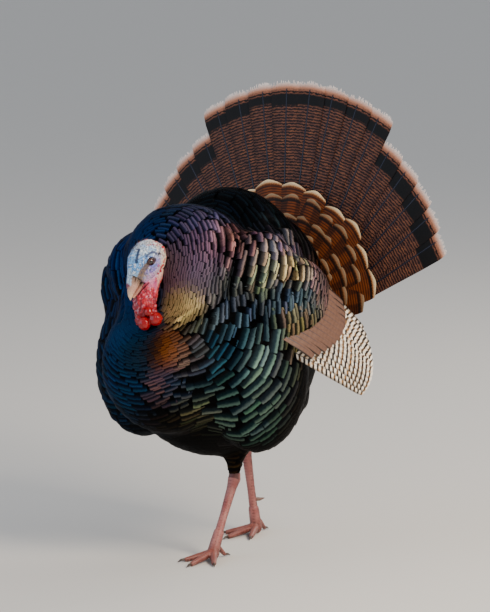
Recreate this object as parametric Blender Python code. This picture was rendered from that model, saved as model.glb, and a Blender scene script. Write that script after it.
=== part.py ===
"""A wild turkey gobbler in full strut, walking, as a life-size museum model.

Units are metres. The bird faces -Y, its left side is +X and it stands on Z = 0.
Every sub-part is a closed solid of its outer form, out to the feather tips. The forms are
first made whole, then parted where they meet: each gives way to those listed before it.
"""

import math

import bmesh
import bpy
from mathutils import Matrix, Vector
from mathutils.bvhtree import BVHTree

# Clearance left where two solids meet, and where one meets the feathered body.
GAP = 0.0005
BODY_GAP = 0.0008

# The feathered body: masses that run together, as centre, then half width, length and height.
MASSES = (
    ((0.0, 0.018, 0.462), (0.210, 0.243, 0.254)),
    ((0.0, -0.158, 0.424), (0.154, 0.112, 0.144)),
    ((0.152, -0.036, 0.404), (0.096, 0.130, 0.166)),
    ((-0.152, -0.036, 0.404), (0.096, 0.130, 0.166)),
    ((0.0, -0.080, 0.636), (0.154, 0.114, 0.130)),
    ((0.0, 0.068, 0.585), (0.192, 0.112, 0.202)),
    ((0.0, 0.176, 0.530), (0.168, 0.088, 0.196)),
    ((0.156, -0.044, 0.632), (0.074, 0.100, 0.086)),
    ((-0.150, -0.040, 0.606), (0.074, 0.100, 0.090)),
    ((0.216, 0.010, 0.560), (0.056, 0.108, 0.100)),
    ((-0.216, 0.010, 0.560), (0.056, 0.108, 0.100)),
    ((0.0, 0.172, 0.334), (0.108, 0.112, 0.106)),
)
BODY_GRAIN = 0.011
BODY_SHARE = 0.08
# The named regions of that body, each the part of it nearest to its own centre.
REGIONS = {
    "cape": ((0.0, -0.105, 0.665), "copper_plumage"),
    "breast": ((0.0, -0.195, 0.420), "teal_plumage"),
    "belly": ((0.0, 0.010, 0.300), "black_plumage"),
    "flank_left": ((0.165, -0.020, 0.400), "bronze_plumage"),
    "flank_right": ((-0.165, -0.020, 0.400), "teal_plumage"),
    "shoulder_left": ((0.150, -0.040, 0.640), "copper_plumage"),
    "shoulder_right": ((-0.150, -0.040, 0.640), "teal_plumage"),
    "wing_coverts_left": ((0.250, 0.040, 0.545), "bronze_plumage"),
    "wing_coverts_right": ((-0.250, 0.040, 0.545), "bronze_plumage"),
    "back": ((0.0, 0.065, 0.640), "black_plumage"),
    "rump": ((0.0, 0.210, 0.520), "rufous_plumage"),
    "vent": ((0.0, 0.215, 0.320), "black_plumage"),
}

# Tail: its root, the centre and radius of the arc of quill tips, the fan's lean and its sweep.
TAIL_ROOT = (0.0, 0.248, 0.486)
TAIL_ROOT_RADIUS = 0.062
TAIL_ROOT_SPREAD = math.radians(86)
TAIL_HUB = (0, 0.248, 0.415)
TAIL_RADIUS = 0.577
TAIL_SIDE_SHARE = 0.883
TAIL_SPREAD = math.radians(60.5)
TAIL_LEAN = math.radians(-8.5)
TAIL_SWEEP = 0.037
TAIL_TILT = math.radians(-1.9)
RECTRICES = 18
CENTRAL_SHARE = 0.505
STEP_SHARE = 0.930
COVERT_RADIUS = 0.300
COVERT_SIDE_SHARE = 0.86
COVERT_SPREAD = math.radians(82)
TAIL_COVERTS = 14
UNDERTAIL_RADIUS = 0.225
UNDERTAIL_SPREAD = math.radians(160)

# Wing, left side: where the row of quill roots starts and ends, and where the tips do.
WRIST, ELBOW = (0.224, -0.082, 0.486), (0.212, 0.028, 0.634)
PRIMARIES = 10
PRIMARY_TIPS = ((0.280, 0.172, 0.352), (0.284, 0.196, 0.405), (0.262, 0.180, 0.490))
SECONDARIES = 10
SECONDARY_TIPS = ((0.266, -0.058, 0.452), (0.273, 0.080, 0.486), (0.242, 0.112, 0.562))

# Head: its middle, the bill's pitch below level, its turn to the bird's right, the bill's reach.
HEAD = (0.0, -0.226, 0.656)
HEAD_PITCH = math.radians(58)
HEAD_TURN = math.radians(-14)
BILL_REACH = 0.086
EYE_RADIUS = 0.0086
EYE = (0.0245, -0.002, 0.0068)

# Legs: hock and toe root of each, then the shared sizes of the shank and toes.
LEFT_KNEE, LEFT_HOCK, LEFT_ANKLE = (0.062, 0.010, 0.260), (0.050, 0.013, 0.163), (0.050, -0.060, 0.016)
RIGHT_KNEE, RIGHT_HOCK, RIGHT_ANKLE = (-0.064, 0.150, 0.290), (-0.054, 0.186, 0.196), (-0.046, 0.212, 0.016)
# The foot takes over from the shank at this height.
FOOT_TOP = 0.046
SHANK_RADIUS = 0.0082
# Each toe's bearing from straight ahead, in degrees outwards, then its length and root height.
TOES = {
    "inner": (-32, 0.066, 0.016),
    "middle": (2, 0.088, 0.017),
    "outer": (36, 0.068, 0.016),
    "hind": (170, 0.036, 0.036),
}
TOE_RADIUS = 0.0076
CLAW_LENGTH = 0.017
SPUR_LENGTH = 0.030

# Colours are linear RGB; then roughness and metallic.
FINISHES = {
    "bronze_plumage": ((0.060, 0.055, 0.038), 0.38, 0.55),
    "teal_plumage": ((0.018, 0.050, 0.062), 0.40, 0.50),
    "copper_plumage": ((0.105, 0.070, 0.058), 0.36, 0.55),
    "black_plumage": ((0.012, 0.012, 0.012), 0.50, 0.20),
    "rufous_plumage": ((0.260, 0.085, 0.022), 0.60, 0.0),
    "barred_tail": ((0.130, 0.060, 0.035), 0.62, 0.0),
    "brown_quill": ((0.250, 0.150, 0.105), 0.60, 0.0),
    "barred_quill": ((0.480, 0.400, 0.300), 0.60, 0.0),
    "head_skin": ((0.520, 0.640, 0.720), 0.45, 0.0),
    "red_skin": ((0.600, 0.020, 0.030), 0.30, 0.0),
    "bill_horn": ((0.520, 0.380, 0.280), 0.35, 0.0),
    "eye_gloss": ((0.020, 0.008, 0.005), 0.05, 0.0),
    "leg_scale": ((0.480, 0.210, 0.190), 0.45, 0.0),
    "claw_horn": ((0.080, 0.060, 0.050), 0.35, 0.0),
}

forms = []


def clear_scene():
    for old in list(bpy.data.objects):
        bpy.data.objects.remove(old)


def finish(name):
    """The shared material of that finish."""
    made = bpy.data.materials.get(name)
    if made:
        return made
    colour, roughness, metallic = FINISHES[name]
    made = bpy.data.materials.new(name)
    made.use_nodes = True
    shader = made.node_tree.nodes["Principled BSDF"]
    shader.inputs["Base Color"].default_value = (*colour, 1)
    shader.inputs["Roughness"].default_value = roughness
    shader.inputs["Metallic"].default_value = metallic
    return made


def add_form(name, bm, material, place=None, smooth=True):
    """Makes bm an object at place and lists it among the forms. Earlier forms keep their shape."""
    bmesh.ops.recalc_face_normals(bm, faces=bm.faces[:])
    mesh = bpy.data.meshes.new(name)
    bm.to_mesh(mesh)
    bm.free()
    mesh.materials.append(finish(material))
    if smooth:
        mesh.shade_smooth()
        mesh.set_sharp_from_angle(angle=math.radians(50))
    obj = bpy.data.objects.new(name, mesh)
    obj.matrix_world = place or Matrix.Identity(4)
    bpy.context.scene.collection.objects.link(obj)
    forms.append(obj)
    return obj


def whole_body():
    """One smooth closed surface round all the masses."""
    bm = bmesh.new()
    for centre, radii in MASSES:
        mass = bmesh.ops.create_uvsphere(bm, u_segments=32, v_segments=20, radius=1)["verts"]
        bmesh.ops.scale(bm, vec=radii, verts=mass)
        bmesh.ops.translate(bm, vec=centre, verts=mass)
    mesh = bpy.data.meshes.new("masses")
    bm.to_mesh(mesh)
    bm.free()
    masses = bpy.data.objects.new("masses", mesh)
    bpy.context.scene.collection.objects.link(masses)
    merge = masses.modifiers.new("merge", "REMESH")
    merge.mode = "VOXEL"
    merge.voxel_size = BODY_GRAIN
    soften = masses.modifiers.new("soften", "SMOOTH")
    soften.factor = 0.6
    soften.iterations = 5
    thin = masses.modifiers.new("thin", "DECIMATE")
    thin.ratio = BODY_SHARE
    body = evaluated_mesh(masses)
    bpy.data.objects.remove(masses)
    return body


def evaluated_mesh(obj):
    bpy.context.view_layer.update()
    graph = bpy.context.evaluated_depsgraph_get()
    return bpy.data.meshes.new_from_object(obj.evaluated_get(graph), depsgraph=graph)


def make_regions():
    """Parts the body halfway between the centres of its regions, by thin flat cuts."""
    body = whole_body()
    whole = bpy.data.objects.new("body", body)
    bpy.context.scene.collection.objects.link(whole)
    hide_as_cutter(whole, BODY_GAP)
    for name, (centre, material) in REGIONS.items():
        centre = Vector(centre)
        bm = bmesh.new()
        bm.from_mesh(body)
        for other, (far, _) in REGIONS.items():
            if other == name:
                continue
            away = (Vector(far) - centre).normalized()
            middle = (Vector(far) + centre) / 2 - away * GAP / 2
            parts = bm.verts[:] + bm.edges[:] + bm.faces[:]
            cut = bmesh.ops.bisect_plane(bm, geom=parts, plane_co=middle, plane_no=away, clear_outer=True)
            rim = [item for item in cut["geom_cut"] if isinstance(item, bmesh.types.BMEdge)]
            if rim:
                bmesh.ops.holes_fill(bm, edges=rim)
        bmesh.ops.dissolve_degenerate(bm, edges=bm.edges[:], dist=0.0004)
        add_form(name, bm, material)
    return whole


def loft(name, rings, material, place=None, segments=10):
    """A skin through ring sections. A ring is centre, side vector, up vector, half width, rise, drop."""
    bm = bmesh.new()
    loops = []
    for centre, side, up, half, rise, drop in rings:
        loop = []
        for step in range(segments):
            angle = 2 * math.pi * step / segments
            tall = math.sin(angle) * (rise if math.sin(angle) > 0 else drop)
            spot = Vector(centre) + Vector(side) * math.cos(angle) * half + Vector(up) * tall
            loop.append(bm.verts.new(spot))
        loops.append(loop)
    for low, high in zip(loops, loops[1:]):
        for step in range(segments):
            after = (step + 1) % segments
            bm.faces.new((low[step], low[after], high[after], high[step]))
    bm.faces.new(loops[0])
    bm.faces.new(reversed(loops[-1]))
    return add_form(name, bm, material, place)


def limb(name, points, radii, material, segments=10):
    """A round tapering tube along points."""
    points = [Vector(p) for p in points]
    rings = []
    for index, (point, radius) in enumerate(zip(points, radii)):
        before = points[max(index - 1, 0)]
        after = points[min(index + 1, len(points) - 1)]
        along = (after - before).normalized()
        side = along.orthogonal().normalized() if abs(along.x) > 0.9 else along.cross((1, 0, 0))
        side.normalize()
        rings.append((point, side, along.cross(side), radius, radius, radius))
    return loft(name, rings, material, segments=segments)


def sheet(name, material, roots, tips, thick, tip_round, columns=3):
    """A sheet of overlapping feathers, closed to one solid.

    roots and tips are functions of a share from 0 to 1 across the sheet, and their number of
    feathers is set by columns: (feathers, columns to each). thick is the root and tip thickness,
    and tip_round how much of its length a feather loses at its corners.
    """
    count, each = columns
    bm = bmesh.new()
    lines = []
    total = count * each
    for column in range(total + 1):
        share = column / total
        place = column / each - min(column // each, count - 1)
        root, tip = Vector(roots(share)), Vector(tips(share))
        across = Vector(roots(min(share + 0.05, 1))) - Vector(roots(max(share - 0.05, 0)))
        across += Vector(tips(min(share + 0.05, 1))) - Vector(tips(max(share - 0.05, 0)))
        facing = across.cross(tip - root).normalized()
        far = 1 - tip_round * abs(2 * place - 1) ** 2.5
        end = root.lerp(tip, far)
        low, high = facing * thick[0] / 2, facing * thick[1] / 2
        lines.append([bm.verts.new(spot) for spot in (root + low, end + high, end - high, root - low)])
    for one, two in zip(lines, lines[1:]):
        for side in range(4):
            after = (side + 1) % 4
            bm.faces.new((one[side], one[after], two[after], two[side]))
    bm.faces.new(lines[0])
    bm.faces.new(reversed(lines[-1]))
    return add_form(name, bm, material)


def bend(points, share):
    """A point on the curve that runs from the first of three points past the second to the third."""
    start, middle, end = (Vector(p) for p in points)
    pull = middle * 2 - (start + end) / 2
    return start.lerp(pull, share).lerp(pull.lerp(end, share), share)


def hide_as_cutter(helper, grow):
    """Leaves an object out of the model, to cut others with, grown by that much."""
    swell = helper.modifiers.new("grow", "DISPLACE")
    swell.strength = grow
    swell.mid_level = 0.0
    helper.hide_render = True
    helper.display_type = "WIRE"


def hidden_copy(obj, grow):
    helper = bpy.data.objects.new(obj.name + "_cutter", obj.data)
    helper.matrix_world = obj.matrix_world
    bpy.context.scene.collection.objects.link(helper)
    hide_as_cutter(helper, grow)
    return helper


def boolean(obj, other, operation):
    change = obj.modifiers.new(operation.lower() + "_" + other.name, "BOOLEAN")
    change.operation = operation
    change.object = other
    change.solver = "EXACT"


def surfaces(obj):
    """A tree of obj's world faces, to test whether two surfaces cross."""
    mesh = evaluated_mesh(obj)
    mesh.transform(obj.matrix_world)
    spots = [vert.co.copy() for vert in mesh.vertices]
    return BVHTree.FromPolygons(spots, [face.vertices[:] for face in mesh.polygons])


def part_forms(body, after_body):
    """Each form gives way to the earlier ones that it meets, by a thin cut.

    Those from after_body on are cut by the whole body, not by its regions one by one.
    """
    for index, obj in enumerate(forms):
        if index >= after_body and surfaces(obj).overlap(surfaces(body)):
            boolean(obj, body, "DIFFERENCE")
        for earlier in forms[:index]:
            if earlier.name in REGIONS:
                continue
            cutter = bpy.data.objects.get(earlier.name + "_cutter") or hidden_copy(earlier, GAP)
            if surfaces(obj).overlap(surfaces(cutter)):
                boolean(obj, cutter, "DIFFERENCE")


def head_frame():
    """The head's own frame: X to its left, Y back from the bill, Z to its crown."""
    turn = Matrix.Rotation(HEAD_TURN, 4, "Z") @ Matrix.Rotation(HEAD_PITCH, 4, "X")
    return Matrix.Translation(HEAD) @ turn


def head_rings(sections):
    """Ring sections across the head's length: distance towards the bill, drop, half width, rise, fall."""
    rings = []
    for ahead, middle, half, rise, fall in sections:
        rings.append(((0, -ahead, middle), (1, 0, 0), (0, 0, 1), half, rise, fall))
    return rings


def make_eyes():
    for side, name in ((1, "eye_left"), (-1, "eye_right")):
        ball = bmesh.new()
        bmesh.ops.create_uvsphere(ball, u_segments=8, v_segments=6, radius=EYE_RADIUS)
        x, ahead, up = EYE
        add_form(name, ball, "eye_gloss", head_frame() @ Matrix.Translation((x * side, -ahead, up)))


def make_bill():
    upper = [(0.028, 0.006, 0.0150, 0.0200, 0.0150), (0.044, 0.004, 0.0135, 0.0165, 0.0135)]
    upper += [(0.058, 0.001, 0.0108, 0.0132, 0.0102), (0.072, -0.002, 0.0074, 0.0098, 0.0066)]
    upper.append((BILL_REACH - 0.005, -0.0050, 0.0036, 0.0060, 0.0040))
    upper.append((BILL_REACH, -0.0100, 0.0010, 0.0020, 0.0010))
    loft("bill_upper", head_rings(upper), "bill_horn", head_frame(), segments=10)
    lower = [(0.030, -0.0135, 0.0130, 0.0035, 0.0100), (0.048, -0.0130, 0.0116, 0.0035, 0.0088)]
    lower += [(0.064, -0.0120, 0.0082, 0.0035, 0.0062), (0.079, -0.0120, 0.0034, 0.0028, 0.0030)]
    loft("bill_lower", head_rings(lower), "bill_horn", head_frame(), segments=10)


def make_snood():
    """The fleshy finger at the root of the bill, laid down along its ridge."""
    line = [(-0.001, -0.026, 0.0235), (-0.002, -0.043, 0.0165)]
    line += [(-0.003, -0.056, 0.0110), (-0.003, -0.068, 0.0060)]
    spots = [head_frame() @ Vector(p) for p in line]
    limb("snood", spots, [0.0066, 0.0062, 0.0052, 0.0028], "head_skin", 8)


def make_head():
    sections = [(-0.0470, -0.001, 0.0080, 0.0110, 0.0130), (-0.0425, -0.001, 0.0175, 0.0210, 0.0240)]
    sections += [(-0.0290, 0.0000, 0.0268, 0.0320, 0.0350), (-0.0100, 0.0000, 0.0305, 0.0385, 0.0390)]
    sections += [(0.0080, 0.0000, 0.0292, 0.0390, 0.0380), (0.0240, 0.0010, 0.0230, 0.0310, 0.0345)]
    sections += [(0.0400, 0.0010, 0.0176, 0.0225, 0.0265)]
    loft("head", head_rings(sections), "head_skin", head_frame(), segments=12)


def make_wattles():
    """The smooth red bulbs low on the throat, joined in one cluster."""
    bulbs = [((0.036, -0.235, 0.540), 0.0142), ((0.015, -0.246, 0.530), 0.0142)]
    bulbs += [((0.001, -0.243, 0.536), 0.0112), ((0.024, -0.244, 0.555), 0.0090)]
    pieces = []
    for index, (middle, radius) in enumerate(bulbs):
        ball = bmesh.new()
        bmesh.ops.create_uvsphere(ball, u_segments=9, v_segments=6, radius=radius)
        name = "wattles" if index == 0 else f"wattle_lobe_{index}"
        pieces.append(add_form(name, ball, "red_skin", Matrix.Translation(middle)))
    join_bodies(pieces)


def join_bodies(pieces):
    """Joins overlapping forms into the first by Boolean unions, applied, and drops the others."""
    whole = pieces[0]
    for piece in pieces[1:]:
        boolean(whole, piece, "UNION")
    mesh = evaluated_mesh(whole)
    whole.modifiers.clear()
    whole.data = mesh
    for piece in pieces[1:]:
        forms.remove(piece)
        bpy.data.objects.remove(piece)
    return whole


def make_neck():
    """The bare neck, from under the skull down into the collar of feathers."""
    spine = [(0, -0.200, 0.640), (0.001, -0.221, 0.604), (0.002, -0.229, 0.570)]
    spine += [(0.003, -0.225, 0.535), (0.002, -0.190, 0.500)]
    limb("neck", spine, [0.0198, 0.0226, 0.0222, 0.0212, 0.0250], "red_skin", 10)


def toe_points(ankle, bearing, length, rise):
    """A toe's line from its root to its tip, on the floor, and its heading."""
    heading = Vector((math.sin(math.radians(bearing)), -math.cos(math.radians(bearing)), 0))
    root = Vector((ankle[0], ankle[1], rise))
    tip = Vector((ankle[0], ankle[1], TOE_RADIUS * 0.55)) + heading * length
    knuckle = root.lerp(tip, 0.45)
    knuckle.z = max(TOE_RADIUS * 0.95, rise * 0.62)
    return [root, knuckle, tip], heading


def make_foot(side_name, hock, ankle, yaw):
    """Three front toes and the hind toe, joined at the ankle and cut flat on the floor, with claws."""
    mirror = 1 if side_name == "left" else -1
    pad = bmesh.new()
    bmesh.ops.create_uvsphere(pad, u_segments=8, v_segments=6, radius=0.0135)
    place = Matrix.Translation((ankle[0], ankle[1], 0.0125))
    toes = [add_form(f"foot_{side_name}", pad, "leg_scale", place)]
    stem = [ankle, ankle.lerp(hock, 0.5 * FOOT_TOP / hock.z), ankle.lerp(hock, FOOT_TOP / hock.z)]
    toes.append(limb(f"stem_{side_name}", stem, [0.0125, 0.0118, 0.0110], "leg_scale", 8))
    for toe, (bearing, length, rise) in TOES.items():
        points, heading = toe_points(ankle, bearing * mirror + yaw, length, rise)
        thick = TOE_RADIUS * (0.8 if toe == "hind" else 1.0)
        tip = points[-1]
        middle, end = tip + heading * CLAW_LENGTH * 0.5, tip + heading * CLAW_LENGTH
        middle.z, end.z = 0.0052, 0.0012
        claw = [tip - heading * 0.003 + Vector((0, 0, 0.0015)), middle, end]
        limb(f"claw_{side_name}_{toe}", claw, [0.0036, 0.0028, 0.0009], "claw_horn", 6)
        radii = [thick * 1.15, thick * 0.98, thick * 0.62]
        toes.append(limb(f"toe_{side_name}_{toe}", points, radii, "leg_scale", 6))
    whole = join_bodies(toes)
    floor = bmesh.new()
    bmesh.ops.create_cube(floor, size=0.5)
    cutter_mesh = bpy.data.meshes.new("floor_cutter")
    floor.to_mesh(cutter_mesh)
    floor.free()
    slab = bpy.data.objects.new(f"floor_cutter_{side_name}", cutter_mesh)
    slab.location = (ankle[0], ankle[1], -0.25)
    slab.hide_render = True
    slab.display_type = "WIRE"
    bpy.context.scene.collection.objects.link(slab)
    boolean(whole, slab, "DIFFERENCE")


def make_leg(side_name, knee, hock, ankle, yaw):
    hock, ankle, knee = Vector(hock), Vector(ankle), Vector(knee)
    inward = -0.55 if side_name == "left" else 0.55
    middle = hock.lerp(ankle, 0.66)
    back = Vector((inward, 1.0, -0.10)).normalized()
    spur = [middle + back * 0.003, middle + back * SPUR_LENGTH * 0.6, middle + back * SPUR_LENGTH]
    spur[2].z += 0.003
    limb(f"spur_{side_name}", spur, [0.0062, 0.0042, 0.0009], "claw_horn", 6)
    make_foot(side_name, hock, ankle, yaw)
    low = ankle.lerp(hock, FOOT_TOP / hock.z * 0.9)
    line = [hock + Vector((0, 0.002, 0.014)), hock, hock.lerp(ankle, 0.12), hock.lerp(ankle, 0.5), low]
    radii = [SHANK_RADIUS * share for share in (1.45, 1.65, 1.25, 1.0, 1.1)]
    limb(f"shank_{side_name}", line, radii, "leg_scale", 10)
    thigh = [knee, knee.lerp(hock, 0.55), hock + Vector((0, 0, 0.018)), hock + Vector((0, 0, 0.004))]
    limb(f"thigh_{side_name}", thigh, [0.034, 0.021, 0.0172, 0.0150], "bronze_plumage", 9)


def make_wing(side_name, side):
    """Coverts, then secondaries and primaries as two sheets that droop beside the body."""
    mirror = Matrix.Diagonal((side, 1, 1))
    wrist, elbow = mirror @ Vector(WRIST), mirror @ Vector(ELBOW)
    primary_tips = [mirror @ Vector(p) for p in PRIMARY_TIPS]
    secondary_tips = [mirror @ Vector(p) for p in SECONDARY_TIPS]
    outward = Vector((side * 0.006, 0, 0))
    roots = lambda share: wrist.lerp(elbow, share) + outward
    tips = lambda share: bend(secondary_tips, share) + outward
    sheet(f"secondaries_{side_name}", "brown_quill", roots, tips, (0.012, 0.004), 0.04, (SECONDARIES, 2))
    roots = lambda share: wrist.lerp(elbow, share) - outward
    tips = lambda share: bend(primary_tips, share) - outward
    sheet(f"primaries_{side_name}", "barred_quill", roots, tips, (0.010, 0.003), 0.035, (PRIMARIES, 2))


def fan_point(hub, radius, angle, ahead=0.0):
    """A point of the tail fan. The angle is from upright towards the bird's left."""
    angle += TAIL_TILT
    up = Matrix.Rotation(TAIL_LEAN, 3, "X") @ Vector((0, 0, 1))
    spot = Vector(hub) + up * radius * math.cos(angle)
    spot.x += radius * math.sin(angle)
    spot.y += TAIL_SWEEP * spot.x * spot.x - ahead
    return spot


def quill_tip(share):
    """Where a tail quill ends: the middle ones stand proud of the outer ones."""
    side = abs(2 * share - 1)
    step = STEP_SHARE if side > CENTRAL_SHARE else 1.0
    reach = TAIL_RADIUS * (1 - (1 - TAIL_SIDE_SHARE) * side ** 2) * step
    return fan_point(TAIL_HUB, reach, TAIL_SPREAD * (2 * share - 1))


def covert_tip(share):
    angle = COVERT_SPREAD * (2 * share - 1)
    reach = COVERT_RADIUS * (1 - (1 - COVERT_SIDE_SHARE) * math.sin(angle) ** 2)
    return fan_point(TAIL_ROOT, reach, angle, 0.012)


def undertail_tip(share):
    angle = UNDERTAIL_SPREAD * (2 * share - 1)
    return fan_point(TAIL_ROOT, UNDERTAIL_RADIUS * (0.66 + 0.34 * math.cos(angle)), angle, -0.014)


def make_tail():
    root = lambda share: fan_point(TAIL_ROOT, TAIL_ROOT_RADIUS, COVERT_SPREAD * (2 * share - 1), 0.0225)
    sheet("tail_coverts", "rufous_plumage", root, covert_tip, (0.026, 0.006), 0.07, (TAIL_COVERTS, 2))
    root = lambda share: fan_point(TAIL_ROOT, 0.02, UNDERTAIL_SPREAD * (2 * share - 1), -0.029)
    sheet("undertail_coverts", "rufous_plumage", root, undertail_tip, (0.044, 0.008), 0.07, (14, 2))
    root = lambda share: fan_point(TAIL_ROOT, TAIL_ROOT_RADIUS, TAIL_ROOT_SPREAD * (2 * share - 1))
    sheet("tail_fan", "barred_tail", root, quill_tip, (0.012, 0.003), 0.045, (RECTRICES, 3))


def stand_on_origin():
    """Moves the whole bird so that its box stands on the origin, by one parent."""
    low, high = Vector((9, 9, 9)), Vector((-9, -9, -9))
    for obj in forms:
        shape = evaluated_mesh(obj)
        for vertex in shape.vertices:
            spot = obj.matrix_world @ vertex.co
            low = Vector(map(min, low, spot))
            high = Vector(map(max, high, spot))
        bpy.data.meshes.remove(shape)
    turkey = bpy.data.objects.new("turkey", None)
    bpy.context.scene.collection.objects.link(turkey)
    for obj in bpy.data.objects:
        if obj != turkey and obj.parent is None:
            obj.parent = turkey
    turkey.location = (-(low.x + high.x) / 2, -(low.y + high.y) / 2, -low.z)


def main():
    clear_scene()
    make_eyes()
    make_bill()
    make_snood()
    make_head()
    make_wattles()
    body = make_regions()
    after_body = len(forms)
    make_neck()
    make_leg("left", LEFT_KNEE, LEFT_HOCK, LEFT_ANKLE, 4)
    make_leg("right", RIGHT_KNEE, RIGHT_HOCK, RIGHT_ANKLE, -4)
    make_wing("left", 1)
    make_wing("right", -1)
    make_tail()
    part_forms(body, after_body)
    stand_on_origin()


main()
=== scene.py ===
# Wild turkey gobbler in full strut: skin, feathers, quills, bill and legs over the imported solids.
import heapq
import math
import random

import bmesh
import bpy
import numpy as np
from mathutils import Matrix, Vector, noise
from mathutils.bvhtree import BVHTree
from mathutils.kdtree import KDTree


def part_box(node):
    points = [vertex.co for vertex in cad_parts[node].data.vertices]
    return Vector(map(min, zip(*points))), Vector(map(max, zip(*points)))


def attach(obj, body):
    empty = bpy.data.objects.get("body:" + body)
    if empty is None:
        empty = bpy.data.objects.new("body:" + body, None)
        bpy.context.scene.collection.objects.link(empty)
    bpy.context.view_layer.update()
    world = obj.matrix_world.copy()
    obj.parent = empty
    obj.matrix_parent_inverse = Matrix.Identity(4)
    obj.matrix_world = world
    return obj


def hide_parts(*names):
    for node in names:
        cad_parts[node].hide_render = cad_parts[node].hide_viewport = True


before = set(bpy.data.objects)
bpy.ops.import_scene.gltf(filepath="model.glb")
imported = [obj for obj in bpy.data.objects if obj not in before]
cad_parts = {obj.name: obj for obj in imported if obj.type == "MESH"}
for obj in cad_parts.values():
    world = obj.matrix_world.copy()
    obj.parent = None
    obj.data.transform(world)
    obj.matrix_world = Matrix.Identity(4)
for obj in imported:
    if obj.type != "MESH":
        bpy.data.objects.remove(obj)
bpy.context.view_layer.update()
random.seed(11)
dice = np.random.default_rng(11)
print("frame loaded")

# where the bird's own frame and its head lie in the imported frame
headPose = {"at": (0.0, -0.226, 0.656), "pitch": 58, "turn": -14, "eye": (0.0245, 0.002, 0.0068)}
headTurn = Matrix.Rotation(math.radians(headPose["turn"]), 3, "Z")
headTurn = headTurn @ Matrix.Rotation(math.radians(headPose["pitch"]), 3, "X")
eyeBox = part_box("eye_left")
headAt = (eyeBox[0] + eyeBox[1]) / 2 - headTurn @ Vector(headPose["eye"])
birdAt = headAt - Vector(headPose["at"])


def onBird(spot):
    return Vector(spot) + birdAt


def onHead(across, ahead, up):
    return headAt + headTurn @ Vector((across, -ahead, up))


def linear(hexCode, alpha=1.0):
    shares = [int(hexCode[i:i + 2], 16) / 255 for i in (0, 2, 4)]
    shares = [c / 12.92 if c <= 0.04045 else ((c + 0.055) / 1.055) ** 2.4 for c in shares]
    return (*shares, alpha)


def smooth(low, high, value):
    share = np.clip((value - low) / (high - low), 0, 1)
    return share * share * (3 - 2 * share)


def unit(vectors):
    return vectors / np.maximum(np.linalg.norm(vectors, axis=-1, keepdims=True), 1e-12)


def newObject(name, mesh):
    obj = bpy.data.objects.new(name, mesh)
    bpy.context.scene.collection.objects.link(obj)
    return obj


def addPiece(name, mesh, materials, slot, nodes=()):
    piece = newObject(name, mesh)
    for material in materials:
        mesh.materials.append(material)
    mesh.shade_smooth()
    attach(piece, "root")
    if nodes:
        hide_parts(*nodes)
    return piece


def paintOn(mesh, colours, layer="paint"):
    paint = mesh.attributes.new(layer, "FLOAT_COLOR", "POINT")
    paint.data.foreach_set("color", np.asarray(colours, np.float32).ravel())


def overpaint(paint, layers, wet):
    # lays each colour over the paint by its share, and adds how wet the surface is
    for amount, code in layers:
        paint = paint + (np.array(linear(code)[:3]) - paint) * np.clip(amount, 0, 1)[:, None]
    return np.column_stack([paint, np.broadcast_to(wet, len(paint))])


def meshOf(bm, name):
    mesh = bpy.data.meshes.new(name)
    bm.to_mesh(mesh)
    bm.free()
    return mesh


def merged(names, swell=0.0):
    whole = bmesh.new()
    for name in names:
        part = bmesh.new()
        part.from_mesh(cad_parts[name].data)
        bmesh.ops.remove_doubles(part, verts=part.verts, dist=1e-6)
        part.normal_update()
        for vert in part.verts:
            vert.co += vert.normal * swell  # so that the thin cuts between nodes close
        mesh = meshOf(part, "part")
        whole.from_mesh(mesh)
        bpy.data.meshes.remove(mesh)
    return whole


def relaxed(bm, rounds):
    for _ in range(rounds):
        bmesh.ops.smooth_vert(bm, verts=bm.verts, factor=0.5, use_axis_x=True,
                              use_axis_y=True, use_axis_z=True)
    bm.normal_update()
    return bm


def voxelled(bm, size, rounds):
    rough = newObject("rough", meshOf(bm, "rough"))
    voxels = rough.modifiers.new("voxels", "REMESH")
    voxels.mode = "VOXEL"
    voxels.voxel_size = size
    bpy.context.view_layer.update()
    graph = bpy.context.evaluated_depsgraph_get()
    mesh = bpy.data.meshes.new_from_object(rough.evaluated_get(graph), depsgraph=graph)
    bpy.data.objects.remove(rough)
    bm = bmesh.new()
    bm.from_mesh(mesh)
    bpy.data.meshes.remove(mesh)
    return relaxed(bm, rounds)


def corners(bm):
    return np.array([v.co for v in bm.verts]), np.array([v.normal for v in bm.verts])


def template(bm):
    # the corners and faces of a shape that is repeated or only read
    bm.verts.index_update()
    table = np.array([v.co for v in bm.verts])
    faces = [[v.index for v in f.verts] for f in bm.faces]
    bm.free()
    return table, faces


def setCorners(bm, spots):
    for vert, spot in zip(bm.verts, spots):
        vert.co = spot
    bm.normal_update()


def toLine(spots, points):
    # how far each spot is from a line through the points, and the gap as a vector
    best, away = np.full(len(spots), 9.0), np.zeros_like(spots)
    for one, two in zip(points, points[1:]):
        line = two - one
        share = np.clip((spots - one) @ line / max(line @ line, 1e-12), 0, 1)
        gap = spots - one - share[:, None] * line
        far = np.linalg.norm(gap, axis=1)
        away = np.where((far < best)[:, None], gap, away)
        best = np.minimum(best, far)
    return best, away


def noiseAt(spots, size, seed=0.0):
    return np.array([noise.noise(Vector(p) / size + Vector((seed, 0, 0))) for p in spots])


# materials
def addNode(tree, kind, inputs=None, out=0, **settings):
    node = tree.nodes.new("ShaderNode" + kind)
    for name, value in settings.items():
        setattr(node, name, value)
    for socket, value in (inputs or {}).items():
        if isinstance(value, str):
            value = linear(value)
        if isinstance(value, bpy.types.NodeSocket):
            tree.links.new(value, node.inputs[socket])
        else:
            node.inputs[socket].default_value = value
    return node.outputs[out]


def newMaterial(name, **sockets):
    material = bpy.data.materials.new(name)
    material.use_nodes = True
    tree = material.node_tree
    shader = tree.nodes["Principled BSDF"]
    for socket, value in sockets.items():
        shader.inputs[socket.replace("_", " ")].default_value = value
    return material, tree, shader


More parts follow.
